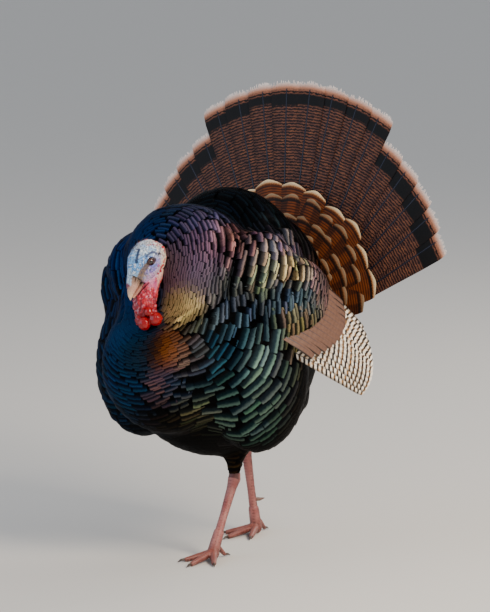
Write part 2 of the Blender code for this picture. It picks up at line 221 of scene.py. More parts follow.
def finished(made, colour, height, strength, distance):
    # joins a colour and a relief to the shader
    material, tree, shader = made
    tree.links.new(colour, shader.inputs["Base Color"])
    bump = addNode(tree, "Bump", {"Strength": strength, "Distance": distance, "Height": height})
    tree.links.new(bump, shader.inputs["Normal"])
    return material


# Contour feather: keratin in thin layers, with a metallic gloss. It is dark at the root, partly its
# own dark base and partly painted shade under the feather above. It grows bright towards a band
# near the tip whose brightest strip is partly a painted highlight, and ends in a velvet black rim
# that is partly pigment and partly painted shadow under the tip. Places are shares of length.
vaneLook = {"root": "030304", "rim": "020203", "bandFrom": 0.50, "bandTo": 0.90,
            "bandHighlightFrom": 0.76, "bandHighlightTo": 0.93, "rimFrom": 0.93, "rimTo": 0.965,
            "rimless": 0.14, "wander": 0.06, "barbs": 15.0, "streak": 0.50}


def bodyFeather():
    made = newMaterial("contourFeatherKeratin", Roughness=0.40, Metallic=0.80,
                       Specular_IOR_Level=0.25, Specular_Tint=(0.35, 0.35, 0.35, 1))
    tree, look = made[1], vaneLook
    place = addNode(tree, "UVMap", uv_map="UVMap")
    along = addNode(tree, "SeparateXYZ", {0: place}, 1)
    tint = addNode(tree, "Attribute", attribute_name="tint")
    trim = addNode(tree, "Attribute", attribute_name="trim")
    rimmed = trim.node.outputs["Alpha"]
    where = addNode(tree, "TexCoord", out="Object")
    cloud = addNode(tree, "TexNoise", {"Vector": where, "Scale": 160, "Detail": 3})
    shift = addNode(tree, "MapRange", {0: cloud, 3: -look["wander"], 4: look["wander"]})
    edge = addNode(tree, "Math", {0: along, 1: shift}, operation="ADD")
    # a feather with a faint rim is bright nearer its tip
    broad = addNode(tree, "MapRange", {0: rimmed, 3: look["rimless"], 4: 0.0})
    spot = addNode(tree, "Math", {0: edge, 1: broad}, operation="ADD")
    # painted shade, partly: the dark zone before the band is the shade under the overlapping
    # feather as well as the dark base
    grow = addNode(tree, "MapRange", {0: spot, 1: look["bandFrom"], 2: look["bandTo"]},
                   interpolation_type="SMOOTHSTEP")
    vane = addNode(tree, "Mix", {0: grow, 6: look["root"], 7: tint}, 2, data_type="RGBA")
    # painted highlight, partly: the brightest strip of the band, just before the rim
    bright = addNode(tree, "MapRange", {0: spot, 1: look["bandHighlightFrom"], 2: look["bandHighlightTo"]},
                     interpolation_type="SMOOTHSTEP")
    vane = addNode(tree, "Mix", {0: bright, 6: vane, 7: trim}, 2, data_type="RGBA")
    # barbs as streaks along the vane, about 50 across it, coarser than real ones so they show
    barbs = addNode(tree, "TexWave", {"Vector": place, "Scale": look["barbs"],
                                      "Distortion": 5.0, "Detail": 3.0, "Detail Scale": 1.6},
                    bands_direction="X")
    dark = addNode(tree, "Math", {0: barbs, 1: look["streak"]}, operation="MULTIPLY")
    vane = addNode(tree, "Mix", {0: dark, 6: vane, 7: look["rim"]}, 2, data_type="RGBA")
    # the black rim is pigment and, partly, painted shadow under the tip
    rim = addNode(tree, "MapRange", {0: edge, 1: look["rimFrom"], 2: look["rimTo"]})
    rim = addNode(tree, "Math", {0: rim, 1: rimmed}, operation="MULTIPLY")
    vane = addNode(tree, "Mix", {0: rim, 6: vane, 7: look["rim"]}, 2, data_type="RGBA")
    return finished(made, vane, barbs, 0.35, 0.0006)


# A large quill's vane is matt keratin with ribs of barbs, drawn 2 mm apart so that they show.
# UVMap holds the place across and the distance from the tip in decimetres, so bars 6 mm apart
# are 0.06 apart, and a wave of that length has a scale of 0.314 / 0.06.
def quillVane(name, build, roughness=0.62):
    made = newMaterial(name, Roughness=roughness, Specular_IOR_Level=0.25)
    tree = made[1]
    place = addNode(tree, "UVMap", uv_map="UVMap")
    across = addNode(tree, "SeparateXYZ", {0: place})
    side = addNode(tree, "Math", {0: across}, operation="ABSOLUTE")
    wander = addNode(tree, "TexNoise", {"Vector": place, "Scale": 30, "Detail": 3})
    wander = addNode(tree, "MapRange", {0: wander, 3: -0.03, 4: 0.03})
    spot = addNode(tree, "Math", {0: across.node.outputs[1], 1: wander}, operation="ADD")
    lot = addNode(tree, "SeparateColor", {0: addNode(tree, "Attribute", attribute_name="tint")})
    colour = build(tree, place, side, spot, lot)
    barbs = addNode(tree, "TexWave", {"Vector": place, "Scale": 30.0, "Distortion": 1.0},
                    bands_direction="DIAGONAL")
    return finished(made, colour, barbs, 0.25, 0.0005)


def stripe(tree, spot, start, end, soft=0.03):
    # 1 between two distances from the tip, 0 outside
    low = addNode(tree, "MapRange", {0: spot, 1: start - soft, 2: start + soft})
    high = addNode(tree, "Math", {0: spot, 1: end}, operation="SUBTRACT")
    high = addNode(tree, "MapRange", {0: high, 1: -soft, 2: soft, 3: 1.0, 4: 0.0})
    return addNode(tree, "Math", {0: low, 1: high}, operation="MULTIPLY")


# tail quill: wavy rust and black bars 6.4 mm apart, a black band, a rusty zone, a pale tip and
# painted shade along the margin that lies under its neighbour
tailLook = {"dark": "1a0f12", "rust": "845238", "rustCool": "5c3c36", "band": "050506",
            "zone": "84503a", "tip": "c08468", "tipEnd": "f4e6de", "shaft": "0c1020",
            "edge": "120a0a", "bars": 4.9, "tipTo": 0.20, "zoneTo": 0.32, "bandWide": 0.50}


def rectrixColour(tree, place, side, spot, lot):
    look = tailLook
    wave = addNode(tree, "TexWave", {"Vector": place, "Scale": look["bars"], "Distortion": 4.6,
                                     "Detail": 3.0, "Detail Scale": 2.4,
                                     "Detail Roughness": 0.65}, bands_direction="Y")
    line = addNode(tree, "MapRange", {0: wave, 1: 0.36, 2: 0.74})
    cloud = addNode(tree, "TexNoise", {"Vector": place, "Scale": 5, "Detail": 4})
    cloud = addNode(tree, "MapRange", {0: cloud, 1: 0.32, 2: 0.68})
    faint = addNode(tree, "MapRange", {0: cloud, 3: 0.75, 4: 1.0})
    line = addNode(tree, "Math", {0: line, 1: faint}, operation="MULTIPLY")
    rust = addNode(tree, "Mix", {0: cloud, 6: look["rustCool"], 7: look["rust"]}, 2,
                   data_type="RGBA")
    vane = addNode(tree, "Mix", {0: line, 6: look["dark"], 7: rust}, 2, data_type="RGBA")
    zone = addNode(tree, "Mix", {0: line, 6: look["band"], 7: look["zone"]}, 2,
                   data_type="RGBA")
    bandTo = addNode(tree, "Math", {0: lot, 1: look["bandWide"]}, operation="ADD")
    near = addNode(tree, "MapRange", {0: spot, 1: 0.03, 2: 0.16})
    tip = addNode(tree, "Mix", {0: near, 6: look["tipEnd"], 7: look["tip"]}, 2,
                  data_type="RGBA")
    past = stripe(tree, spot, look["tipTo"], 99)
    # painted shade: each vane darkens towards the margin that lies under its neighbour, where the
    # next quill's shade falls
    edge = addNode(tree, "MapRange", {0: side, 1: 0.22, 2: 0.42, 4: 0.55})
    edge = addNode(tree, "Math", {0: edge, 1: past}, operation="MULTIPLY")
    shaft = addNode(tree, "MapRange", {0: side, 1: 0.012, 2: 0.024, 3: 1.0, 4: 0.0})
    shaft = addNode(tree, "Math", {0: shaft, 1: past}, operation="MULTIPLY")
    for share, over in ((stripe(tree, spot, 0.0, look["zoneTo"]), zone),
                        (stripe(tree, spot, look["zoneTo"] - 0.02, bandTo), look["band"]),
                        (stripe(tree, spot, -1.0, look["tipTo"], 0.04), tip),
                        (edge, look["edge"]), (shaft, look["shaft"])):
        vane = addNode(tree, "Mix", {0: share, 6: vane, 7: over}, 2, data_type="RGBA")
    return vane


# Upper tail covert: rust with thin dark bars 6 mm apart, a black crescent and a buff fringe.
# The tint's red is how strong the crescent is, its green the fringe, its blue black margins.
covertLook = {"rust": "94480f", "rustDeep": "4c200c", "bar": "120803", "black": "040303",
              "fringe": "a0602c", "fringeEnd": "f0d8ac", "bars": 5.2, "fringeTo": 0.095,
              "crescent": (0.085, 0.17)}


def covertColour(tree, place, side, spot, lot):
    look = covertLook
    wave = addNode(tree, "TexWave", {"Vector": place, "Scale": look["bars"], "Distortion": 1.2,
                                     "Detail": 2.0}, bands_direction="Y")
    line = addNode(tree, "MapRange", {0: wave, 1: 0.45, 2: 0.90, 4: 0.85})
    cloud = addNode(tree, "TexNoise", {"Vector": place, "Scale": 7})
    vane = addNode(tree, "Mix", {0: cloud, 6: look["rustDeep"], 7: look["rust"]}, 2,
                   data_type="RGBA")
    crescent = stripe(tree, spot, *look["crescent"], 0.02)
    crescent = addNode(tree, "Math", {0: crescent, 1: lot}, operation="MULTIPLY")
    margin = addNode(tree, "MapRange", {0: side, 1: 0.09, 2: 0.13})
    margin = addNode(tree, "Math", {0: margin, 1: lot.node.outputs[2]}, operation="MULTIPLY")
    near = addNode(tree, "MapRange", {0: spot, 1: 0.02, 2: 0.09})
    fringe = addNode(tree, "Mix", {0: near, 6: look["fringeEnd"], 7: look["fringe"]}, 2,
                     data_type="RGBA")
    edge = stripe(tree, spot, -1.0, look["fringeTo"], 0.02)
    edge = addNode(tree, "Math", {0: edge, 1: lot.node.outputs[1]}, operation="MULTIPLY")
    for share, over in ((line, look["bar"]), (crescent, look["black"]),
                        (margin, look["black"]), (edge, fringe)):
        vane = addNode(tree, "Mix", {0: share, 6: vane, 7: over}, 2, data_type="RGBA")
    return vane


# primary: brown black with slanting white bars 13.5 mm apart, stained tan
primaryLook = {"dark": "180d07", "tan": "9c7040", "white": "fbf2e4", "cream": "dcb480",
               "bars": 0.135, "slant": 0.55}


def primaryColour(tree, place, side, spot, lot):
    look = primaryLook
    slant = addNode(tree, "Math", {0: side, 1: look["slant"], 2: spot},
                    operation="MULTIPLY_ADD")
    phase = addNode(tree, "Math", {0: slant, 1: 2 * math.pi / look["bars"]},
                    operation="MULTIPLY")
    wave = addNode(tree, "Math", {0: phase}, operation="SINE")
    line = addNode(tree, "MapRange", {0: wave, 1: -0.25, 2: 0.15})
    cloud = addNode(tree, "TexNoise", {"Vector": place, "Scale": 9})
    stain = addNode(tree, "MapRange", {0: cloud, 1: 0.45, 2: 0.75})
    dark = addNode(tree, "Mix", {0: stain, 6: look["dark"], 7: look["tan"]}, 2,
                   data_type="RGBA")
    pale = addNode(tree, "Mix", {0: stain, 6: look["white"], 7: look["cream"]}, 2,
                   data_type="RGBA")
    vane = addNode(tree, "Mix", {0: line, 6: dark, 7: pale}, 2, data_type="RGBA")
    edge = addNode(tree, "MapRange", {0: side, 1: 0.07, 2: 0.115, 4: 0.7})
    return addNode(tree, "Mix", {0: edge, 6: vane, 7: look["dark"]}, 2, data_type="RGBA")


# secondary: plain worn brown, faintly barred 9 mm apart, with a dark margin under the next
secondaryLook = {"brown": "583c32", "pale": "80604f", "bar": "5a3c2e", "margin": "1c110c",
                 "bars": 3.4}


def secondaryColour(tree, place, side, spot, lot):
    look = secondaryLook
    cloud = addNode(tree, "TexNoise", {"Vector": place, "Scale": 7, "Detail": 3})
    vane = addNode(tree, "Mix", {0: cloud, 6: look["brown"], 7: look["pale"]}, 2,
                   data_type="RGBA")
    wave = addNode(tree, "TexWave", {"Vector": place, "Scale": look["bars"],
                                     "Distortion": 1.5}, bands_direction="Y")
    line = addNode(tree, "MapRange", {0: wave, 1: 0.6, 2: 0.95, 4: 0.25})
    edge = addNode(tree, "MapRange", {0: side, 1: 0.080, 2: 0.105})
    for share, over in ((line, look["bar"]), (edge, look["margin"])):
        vane = addNode(tree, "Mix", {0: share, 6: vane, 7: over}, 2, data_type="RGBA")
    return vane


# Skin and horn with their colour painted on the mesh. Pores and fine folds are relief, specks
# are darker, and the paint's alpha says how wet the surface looks. A scale of 900 is pores
# 1.1 mm apart, and depth is their relief in metres.
def paintedSkin(name, roughness, scale, depth):
    made = newMaterial(name, Roughness=roughness)
    tree, shader = made[1:]
    paint = addNode(tree, "Attribute", attribute_name="paint")
    where = addNode(tree, "TexCoord", out="Object")
    speck = addNode(tree, "TexNoise", {"Vector": where, "Scale": scale * 0.6, "Detail": 4,
                                       "Roughness": 0.7})
    speck = addNode(tree, "MapRange", {0: speck, 1: 0.42, 2: 0.78})
    deep = addNode(tree, "Mix", {0: 0.45, 6: paint, 7: "4a2a38"}, 2, data_type="RGBA",
                   blend_type="MULTIPLY")
    colour = addNode(tree, "Mix", {0: speck, 6: paint, 7: deep}, 2, data_type="RGBA")
    wet = addNode(tree, "MapRange", {0: paint.node.outputs["Alpha"], 3: roughness + 0.2,
                                     4: roughness - 0.26})
    tree.links.new(wet, shader.inputs["Roughness"])
    pores = addNode(tree, "TexNoise", {"Vector": where, "Scale": scale, "Detail": 5,
                                       "Roughness": 0.65})
    return finished(made, colour, pores, 0.5, depth)


# horn sheath, grown in layers: a satin gloss with streaks along it, 1000 / scale mm apart
def hornMaterial(name, near, far, roughness, scale):
    made = newMaterial(name, Roughness=roughness)
    tree = made[1]
    where = addNode(tree, "TexCoord", out="Object")
    long = addNode(tree, "Mapping", {"Vector": where, "Scale": (1.0, 1.0, 0.35)})
    streaks = addNode(tree, "TexNoise", {"Vector": long, "Scale": scale, "Detail": 4})
    share = addNode(tree, "MapRange", {0: streaks, 1: 0.3, 2: 0.7})
    colour = addNode(tree, "Mix", {0: share, 6: near, 7: far}, 2, data_type="RGBA")
    return finished(made, colour, streaks, 0.3, 0.0003)


contourKeratin = bodyFeather()
tailKeratin = quillVane("tailQuillKeratin", rectrixColour)
covertKeratin = quillVane("covertKeratin", covertColour)
primaryKeratin = quillVane("primaryKeratin", primaryColour)
secondaryKeratin = quillVane("secondaryKeratin", secondaryColour, 0.5)
shaftKeratin = hornMaterial("quillShaft", "10182c", "2c303c", 0.35, 120)  # dark and glossy
bareSkin = paintedSkin("bareHeadSkin", 0.40, 900, 0.0007)  # moist, pored skin
scaleSkin = paintedSkin("legScaleKeratin", 0.42, 700, 0.0004)  # waxy plates
downSkin = paintedSkin("downySkin", 0.85, 300, 0.001)  # dull down, seen only between feathers
billHorn = paintedSkin("billHorn", 0.34, 500, 0.0003)  # satin horn
clawHorn = hornMaterial("clawHorn", "2a1f1a", "5c4a3e", 0.35, 260)  # dark, worn at the tips
spurHorn = hornMaterial("spurHorn", "5a3c34", "8c6a5c", 0.4, 260)  # paler and duller
print("materials made")

# plumage: each place gives its spot on the bird, its reach, the exposed length of a feather in
# mm, the sheen across it and the brighter band near its tip, which is partly a painted highlight.
# The places on the bird's right side are blue and teal: painted cool shade over the feathers' own
# dark sheen.
plumage = {
    "capeCrown": ((0.00, -0.10, 0.750), 0.050, 10, "0a1e34", "2c4a68"),
    "capeTop": ((0.05, -0.130, 0.745), 0.040, 9, "40446a", "9080a4"),
    "capePurple": ((0.085, -0.165, 0.690), 0.040, 6.5, "4c3e54", "98748a"),
    "capeRim": ((0.122, -0.110, 0.710), 0.034, 12, "84585a", "d09488"),
    "capeCopper": ((0.090, -0.172, 0.630), 0.038, 5, "5c5060", "907c8c"),
    "capeOlive": ((0.070, -0.185, 0.575), 0.026, 4, "907e50", "c8b07c"),
    "capeGrey": ((0.132, -0.140, 0.605), 0.034, 8, "4a5050", "94968c"),
    "capeShade": ((0.025, -0.185, 0.650), 0.028, 5, "5c5060", "8c7480"),
    # painted shade: these places on the bird's right side are blue and teal for the cool shade on
    # that side
    "capeInShade": ((-0.060, -0.160, 0.700), 0.050, 7, "03325f", "184c80"),
    "capeInShadeLow": ((-0.080, -0.180, 0.590), 0.040, 5.5, "032c58", "0c4474"),
    "shoulderInShade": ((-0.143, -0.135, 0.636), 0.050, 12, "033264", "145088"),
    "sideInShade": ((-0.203, -0.096, 0.540), 0.060, 15, "032a4a", "0c446e"),
    "breastTealInShade": ((-0.060, -0.236, 0.507), 0.045, 5, "033a60", "04486e"),
    "breastInShadeLow": ((-0.073, -0.253, 0.401), 0.060, 11, "08304e", "205078"),
    "breastOlive": ((0.000, -0.261, 0.474), 0.032, 5, "12202a", "263844"),
    # painted shade: a dark line where the breast folds
    "grooveShade": ((0.040, -0.252, 0.488), 0.020, 5, "120a06", "26180e"),
    "breastRust": ((0.076, -0.243, 0.480), 0.028, 5, "60300f", "8c4c20"),
    "breastCopper": ((0.095, -0.244, 0.429), 0.035, 7, "1c3048", "3c4c64"),
    "barredPatch": ((0.055, -0.261, 0.416), 0.018, 6, "3c3444", "986c68"),
    "breastGrey": ((0.105, -0.224, 0.480), 0.028, 6, "503e34", "7c6450"),
    "blueEdge": ((0.125, -0.190, 0.490), 0.034, 11, "08222e", "284a60"),
    "flankTop": ((0.142, -0.135, 0.557), 0.034, 12, "263448", "687894"),
    "flankMid": ((0.165, -0.131, 0.516), 0.034, 15, "20363e", "50747c"),
    "flankGold": ((0.199, -0.124, 0.487), 0.038, 17, "303e48", "7c948c"),
    "flankBlue": ((0.142, -0.187, 0.458), 0.042, 14, "06202e", "184a5a"),
    "flankFar": ((0.222, -0.119, 0.436), 0.050, 18, "1e262c", "5c6860"),
    "flankLow": ((0.175, -0.160, 0.394), 0.050, 17, "1e383e", "749488"),
    "flankUnder": ((0.128, -0.203, 0.374), 0.045, 15, "26281e", "7c7a54"),
    # painted shade, partly: the underside from here down is near black, the bird's dark belly with
    # the shade beneath the body painted in
    "flankBottom": ((0.084, -0.214, 0.328), 0.050, 14, "060504", "201a10"),
    "flankBack": ((0.235, 0.020, 0.400), 0.060, 16, "080503", "241408"),
    "bellyFront": ((0.021, -0.236, 0.324), 0.050, 13, "0a0806", "2c2012"),
    # painted shade: these places on the bird's right side are blue and teal for the cool shade on
    # that side
    "bellyInShade": ((-0.067, -0.228, 0.334), 0.050, 13, "06182a", "163e5a"),
    "flankInShade": ((-0.200, -0.060, 0.400), 0.080, 16, "04263e", "124664"),
    # painted shade, partly: near black for the dark belly and the shade beneath the body
    "belly": ((0.000, -0.050, 0.240), 0.120, 15, "040303", "0c0906"),
    "vent": ((0.000, 0.170, 0.300), 0.100, 15, "080503", "1c1008"),
    "scapularFront": ((0.169, -0.119, 0.684), 0.030, 12, "645260", "d4a098"),
    "scapularMid": ((0.201, -0.109, 0.665), 0.034, 13, "4c5854", "c0c0a0"),
    "scapularTop": ((0.180, -0.059, 0.710), 0.038, 14, "6c6c88", "ccb0bc"),
    "scapularEnd": ((0.221, -0.050, 0.670), 0.034, 15, "7c6c48", "fce4a0"),
    "scapularGold": ((0.189, 0.009, 0.692), 0.030, 14, "74728a", "dcc0c0"),
    "scapularLow": ((0.197, -0.122, 0.613), 0.034, 11, "485450", "a4ac8c"),
    "covertFront": ((0.232, -0.082, 0.601), 0.034, 9, "0c1830", "344c74"),
    "covertMid": ((0.264, -0.037, 0.578), 0.044, 10, "142830", "5a7074"),
    "covertTop": ((0.261, 0.036, 0.611), 0.038, 9, "3c3846", "c09a98"),
    "covertRim": ((0.267, 0.046, 0.568), 0.038, 9, "4c4040", "ccac9c"),
    "covertLow": ((0.251, -0.055, 0.515), 0.038, 11, "3c3a2c", "b8a076"),
    # painted shade: these places on the bird's right wing are blue and teal for the cool shade on
    # that side
    "scapularInShade": ((-0.190, -0.060, 0.660), 0.060, 13, "04264a", "184e7c"),
    "covertInShade": ((-0.260, -0.010, 0.560), 0.060, 10, "062c4a", "285880"),
    "back": ((0.000, 0.020, 0.790), 0.110, 13, "03070c", "142028"),
    "backSide": ((0.113, 0.190, 0.665), 0.070, 12, "121316", "38363a"),
    "backRim": ((0.165, 0.190, 0.600), 0.040, 12, "1c0f06", "b4641c"),
    # painted shade: the bird's right side of the back is bluer for the cool shade on that side
    "backSideInShade": ((-0.113, 0.190, 0.665), 0.070, 13, "060c12", "1a2832"),
    "rump": ((0.000, 0.230, 0.600), 0.060, 12, "1c1008", "98541c"),
    "shinLeft": ((0.060, 0.010, 0.240), 0.045, 7, "1a100a", "4a3822"),
    "shinRight": ((-0.060, 0.160, 0.260), 0.045, 7, "1a100a", "4a3822"),
}
placeSpots = np.array([onBird(entry[0]) for entry in plumage.values()])
placeReach = np.array([entry[1] for entry in plumage.values()])
placeFacts = np.array([[entry[2], *linear(entry[3])[:3], *linear(entry[4])[:3]]
                       for entry in plumage.values()])


def growing(spots):
    # exposed length in metres, sheen and trim at each spot, blended from the places near it
    gap = np.linalg.norm(spots[:, None, :] - placeSpots[None], axis=2) / placeReach
    share = np.exp(-np.minimum(gap * gap, 60)) + 1e-9 / (1 + gap ** 4)
    facts = share @ placeFacts / share.sum(axis=1, keepdims=True)
    return facts[:, 0] / 1000, facts[:, 1:4], facts[:, 4:7]


# the feathered body, shrunk by the depth of its coat, which goes with the feathers' length
bodyNodes = ["back", "belly", "breast", "cape", "flank_left", "flank_right", "rump", "vent",
             "shoulder_left", "shoulder_right", "wing_coverts_left", "wing_coverts_right",
             "thigh_left", "thigh_right"]
coat = {"swell": 0.0012, "voxel": 0.0073, "relax": 4, "depthShare": 0.42,
        "depthLeast": 0.0012, "evening": 0.3}
bodyForm = voxelled(merged(bodyNodes, coat["swell"]), coat["voxel"], coat["relax"])
bodySpots, bodyNormals = corners(bodyForm)
bodyStep = growing(bodySpots)[0]
coatDepth = bodyStep * coat["depthShare"] + coat["depthLeast"]
setCorners(bodyForm, bodySpots - bodyNormals * coatDepth[:, None])
bodySpots, bodyNormals = corners(relaxed(bodyForm, 2))
triangles = bodyForm.copy()
bmesh.ops.triangulate(triangles, faces=triangles.faces)
bodyTris = np.array(template(triangles)[1])
print("body skin:", len(bodySpots), "corners")


# the bare neck, where the coat starts: its axis and how near the first row comes
neckRing = {"high": (0, -0.180, 0.665), "low": (0, -0.205, 0.535), "reach": 0.009,
            "margin": 0.004, "rounds": 90}


def fromNeck(spots, tris, step):
    # Rows of feathers between the neck and each corner: a front starts round the bare neck and
    # moves one exposed length for each row.
    gap = toLine(spots, [np.array(onBird(neckRing[end])) for end in ("high", "low")])[0]
    rows = np.full(len(spots), np.inf)
    rows[gap < max(neckRing["reach"], gap.min() + neckRing["margin"])] = 0.0
    links = {}
    for one, two in {tuple(sorted(pair)) for tri in tris.tolist() for pair in
                     ((tri[0], tri[1]), (tri[1], tri[2]), (tri[2], tri[0]))}:
        cost = float(np.linalg.norm(spots[one] - spots[two])) * 2 / (step[one] + step[two])
        links.setdefault(one, []).append((two, cost))
        links.setdefault(two, []).append((one, cost))
    queue = [(0.0, int(i)) for i in np.nonzero(rows == 0)[0]]
    heapq.heapify(queue)
    while queue:
        reached, here = heapq.heappop(queue)
        if reached > rows[here]:
            continue
        for other, cost in links.get(here, ()):
            if reached + cost < rows[other]:
                rows[other] = reached + cost
                heapq.heappush(queue, (reached + cost, other))
    for _ in range(neckRing["rounds"]):  # straightens the front across each triangle
        before = rows.copy()
        for turn in range(3):
            straighten(rows, spots, step, *(tris[:, (turn + i) % 3] for i in range(3)))
        if np.nanmax(before - rows) < 1e-3:
            break
    rows[~np.isfinite(rows)] = rows[np.isfinite(rows)].max()
    return rows


def straighten(rows, spots, step, a, b, c):
    # the front's arrival at corner c of each triangle, if it crosses between a and b
    one, two = spots[a] - spots[c], spots[b] - spots[c]
    g11, g22, g12 = (one * one).sum(1), (two * two).sum(1), (one * two).sum(1)
    det = np.maximum(g11 * g22 - g12 * g12, 1e-18)
    q11, q22, q12 = g22 / det, g11 / det, -g12 / det
    speed = (3 / (step[a] + step[b] + step[c])) ** 2
    da, db = rows[a], rows[b]
    total = q11 + 2 * q12 + q22
    middle = (q11 + q12) * da + (q12 + q22) * db
    rest = q11 * da * da + 2 * q12 * da * db + q22 * db * db - speed
    under = middle * middle - total * rest
    guess = (middle + np.sqrt(np.maximum(under, 0))) / total
    fine = (under > 0) & (q11 * (da - guess) + q12 * (db - guess) < 0)
    fine &= q12 * (da - guess) + q22 * (db - guess) < 0
    np.minimum.at(rows, c, np.where(fine & np.isfinite(guess), guess, np.inf))


def cornerMean(values, tris, rounds):
    # each corner's value evened with its neighbours'
    for _ in range(rounds):
        total = np.zeros_like(values)
        weight = np.zeros(len(values))
        mean = values[tris].mean(axis=1)
        for turn in range(3):
            np.add.at(total, tris[:, turn], mean)
            np.add.at(weight, tris[:, turn], 1)
        values = total / np.maximum(weight, 1).reshape((-1,) + (1,) * (values.ndim - 1))
    return values


def flowOf(rows, spots, tris):
    # the way the rows grow, which is the lie of the feathers
    a, b, c = spots[tris[:, 0]], spots[tris[:, 1]], spots[tris[:, 2]]
    face = np.cross(b - a, c - a)
    area = np.maximum((face * face).sum(1), 1e-18)[:, None]
    slope = (np.cross(face, c - b) * rows[tris[:, 0]][:, None]
             + np.cross(face, a - c) * rows[tris[:, 1]][:, None]
             + np.cross(face, b - a) * rows[tris[:, 2]][:, None]) / area
    flow = np.zeros_like(spots)
    for turn in range(3):
        np.add.at(flow, tris[:, turn], slope * np.sqrt(area))
    return unit(flow)


rowField = cornerMean(fromNeck(bodySpots, bodyTris, bodyStep), bodyTris, 2)
evenField = fromNeck(bodySpots, bodyTris, bodyStep ** coat["evening"])  # for the lie alone
evenField = cornerMean(evenField, bodyTris, 2)
bodyFlow = cornerMean(flowOf(evenField, bodySpots, bodyTris), bodyTris, 4)
print("rows of feathers:", int(rowField.max()))

# ledges: where one group of feathers ends over the next, as a depth and a line on the left side
ledges = {
    "cape": (0.010, ((0.059, -0.097, 0.752), (0.085, -0.084, 0.743), (0.134, -0.078, 0.710),
                     (0.147, -0.118, 0.688), (0.147, -0.137, 0.659), (0.145, -0.143, 0.630),
                     (0.132, -0.134, 0.590), (0.120, -0.151, 0.569), (0.094, -0.181, 0.547),
                     (0.078, -0.205, 0.532))),
    "scapular": (0.008, ((0.129, 0.035, 0.718), (0.165, 0.050, 0.700), (0.205, 0.020, 0.680),
                         (0.231, -0.004, 0.655), (0.243, -0.033, 0.637),
                         (0.239, -0.066, 0.617), (0.220, -0.090, 0.606),
                         (0.208, -0.097, 0.588), (0.189, -0.111, 0.584),
                         (0.165, -0.127, 0.588))),
}
# a ledge from side to side in metres: a raised lip, its height a share of the depth, and a cleft
ledgeForm = {"beside": (0.004, 0.020), "lip": 0.35, "lipAt": -0.010, "lipWide": 0.010,
             "cleftAt": 0.006, "cleftWide": 0.007}


def cutLedges(spots, normals, flow):
    # raises the skin ahead of each line and sinks it behind, so the tips there overhang
    look = ledgeForm
    for depth, line in ledges.values():
        for flip in (1, -1):
            points = np.array([onBird((x * flip, y, z)) for x, y, z in line])
            best, away = toLine(spots, points)
            past = (away * flow).sum(axis=1)
            beside = np.sqrt(np.maximum(best ** 2 - past ** 2, 0))
            near = 1 - smooth(*look["beside"], beside)
            rise = look["lip"] * np.exp(-((past - look["lipAt"]) / look["lipWide"]) ** 2)
            sink = np.exp(-((past - look["cleftAt"]) / look["cleftWide"]) ** 2)
            spots = spots + normals * (depth * near * (rise - sink))[:, None]
    return spots


setCorners(bodyForm, cutLedges(bodySpots, bodyNormals, bodyFlow))
bodySpots, bodyNormals = corners(bodyForm)
bodyTree = BVHTree.FromPolygons([Vector(p) for p in bodySpots], bodyTris.tolist())


def onSkin(points):
    # nearest spots on the body's skin, with its normal and the lie of its feathers there
    found = [bodyTree.find_nearest(Vector(point)) for point in points]
    spots, tri = np.array([f[0] for f in found]), bodyTris[np.array([f[2] for f in found])]
    a, b, c = bodySpots[tri[:, 0]], bodySpots[tri[:, 1]], bodySpots[tri[:, 2]]
    whole = np.maximum(np.linalg.norm(np.cross(b - a, c - a), axis=1), 1e-12)
    wa = np.linalg.norm(np.cross(b - spots, c - spots), axis=1) / whole
    wb = np.linalg.norm(np.cross(c - spots, a - spots), axis=1) / whole
    share = np.stack([wa, wb, np.clip(1 - wa - wb, 0, 1)], axis=1)[:, :, None]
    normal = unit((bodyNormals[tri] * share).sum(axis=1))
    flow = (bodyFlow[tri] * share).sum(axis=1)
    return spots, normal, unit(flow - normal * (flow * normal).sum(1, keepdims=True))


def rowSpots(spacing, level, offset):
    # roots along one row: the line where the count of rows from the neck is level
    above = rowField[bodyTris] > level
    cut = bodyTris[(above.any(axis=1)) & (~above.all(axis=1))]
    ends = {}
    for tri in cut.tolist():
        pair = [tuple(sorted((tri[i], tri[(i + 1) % 3]))) for i in range(3)
                if (rowField[tri[i]] > level) != (rowField[tri[(i + 1) % 3]] > level)]
        ends.setdefault(pair[0], []).append(pair[1])
        ends.setdefault(pair[1], []).append(pair[0])
    place = {}
    for one, two in ends:
        share = (level - rowField[one]) / (rowField[two] - rowField[one])
        place[(one, two)] = (bodySpots[one] * (1 - share) + bodySpots[two] * share,
                             spacing[one] * (1 - share) + spacing[two] * share)
    left, found = set(ends), []
    while left:
        chain = [min(left)]
        left.discard(chain[0])
        while True:
            after = [e for e in ends[chain[-1]] if e in left]
            if not after:
                break
            chain.append(after[0])
            left.discard(after[0])
        chain.append(chain[0])
        points = np.array([place[e][0] for e in chain])
        width = np.array([place[e][1] for e in chain])
        length = np.linalg.norm(np.diff(points, axis=0), axis=1)
        count = np.concatenate([[0], np.cumsum(length * 2 / (width[1:] + width[:-1]))])
        total = int(round(count[-1]))
        if total < 2:
            continue
        wanted = (np.arange(total) + offset) * count[-1] / total
        found.append(np.stack([np.interp(wanted, count, points[:, k]) for k in range(3)], axis=1))
    return found


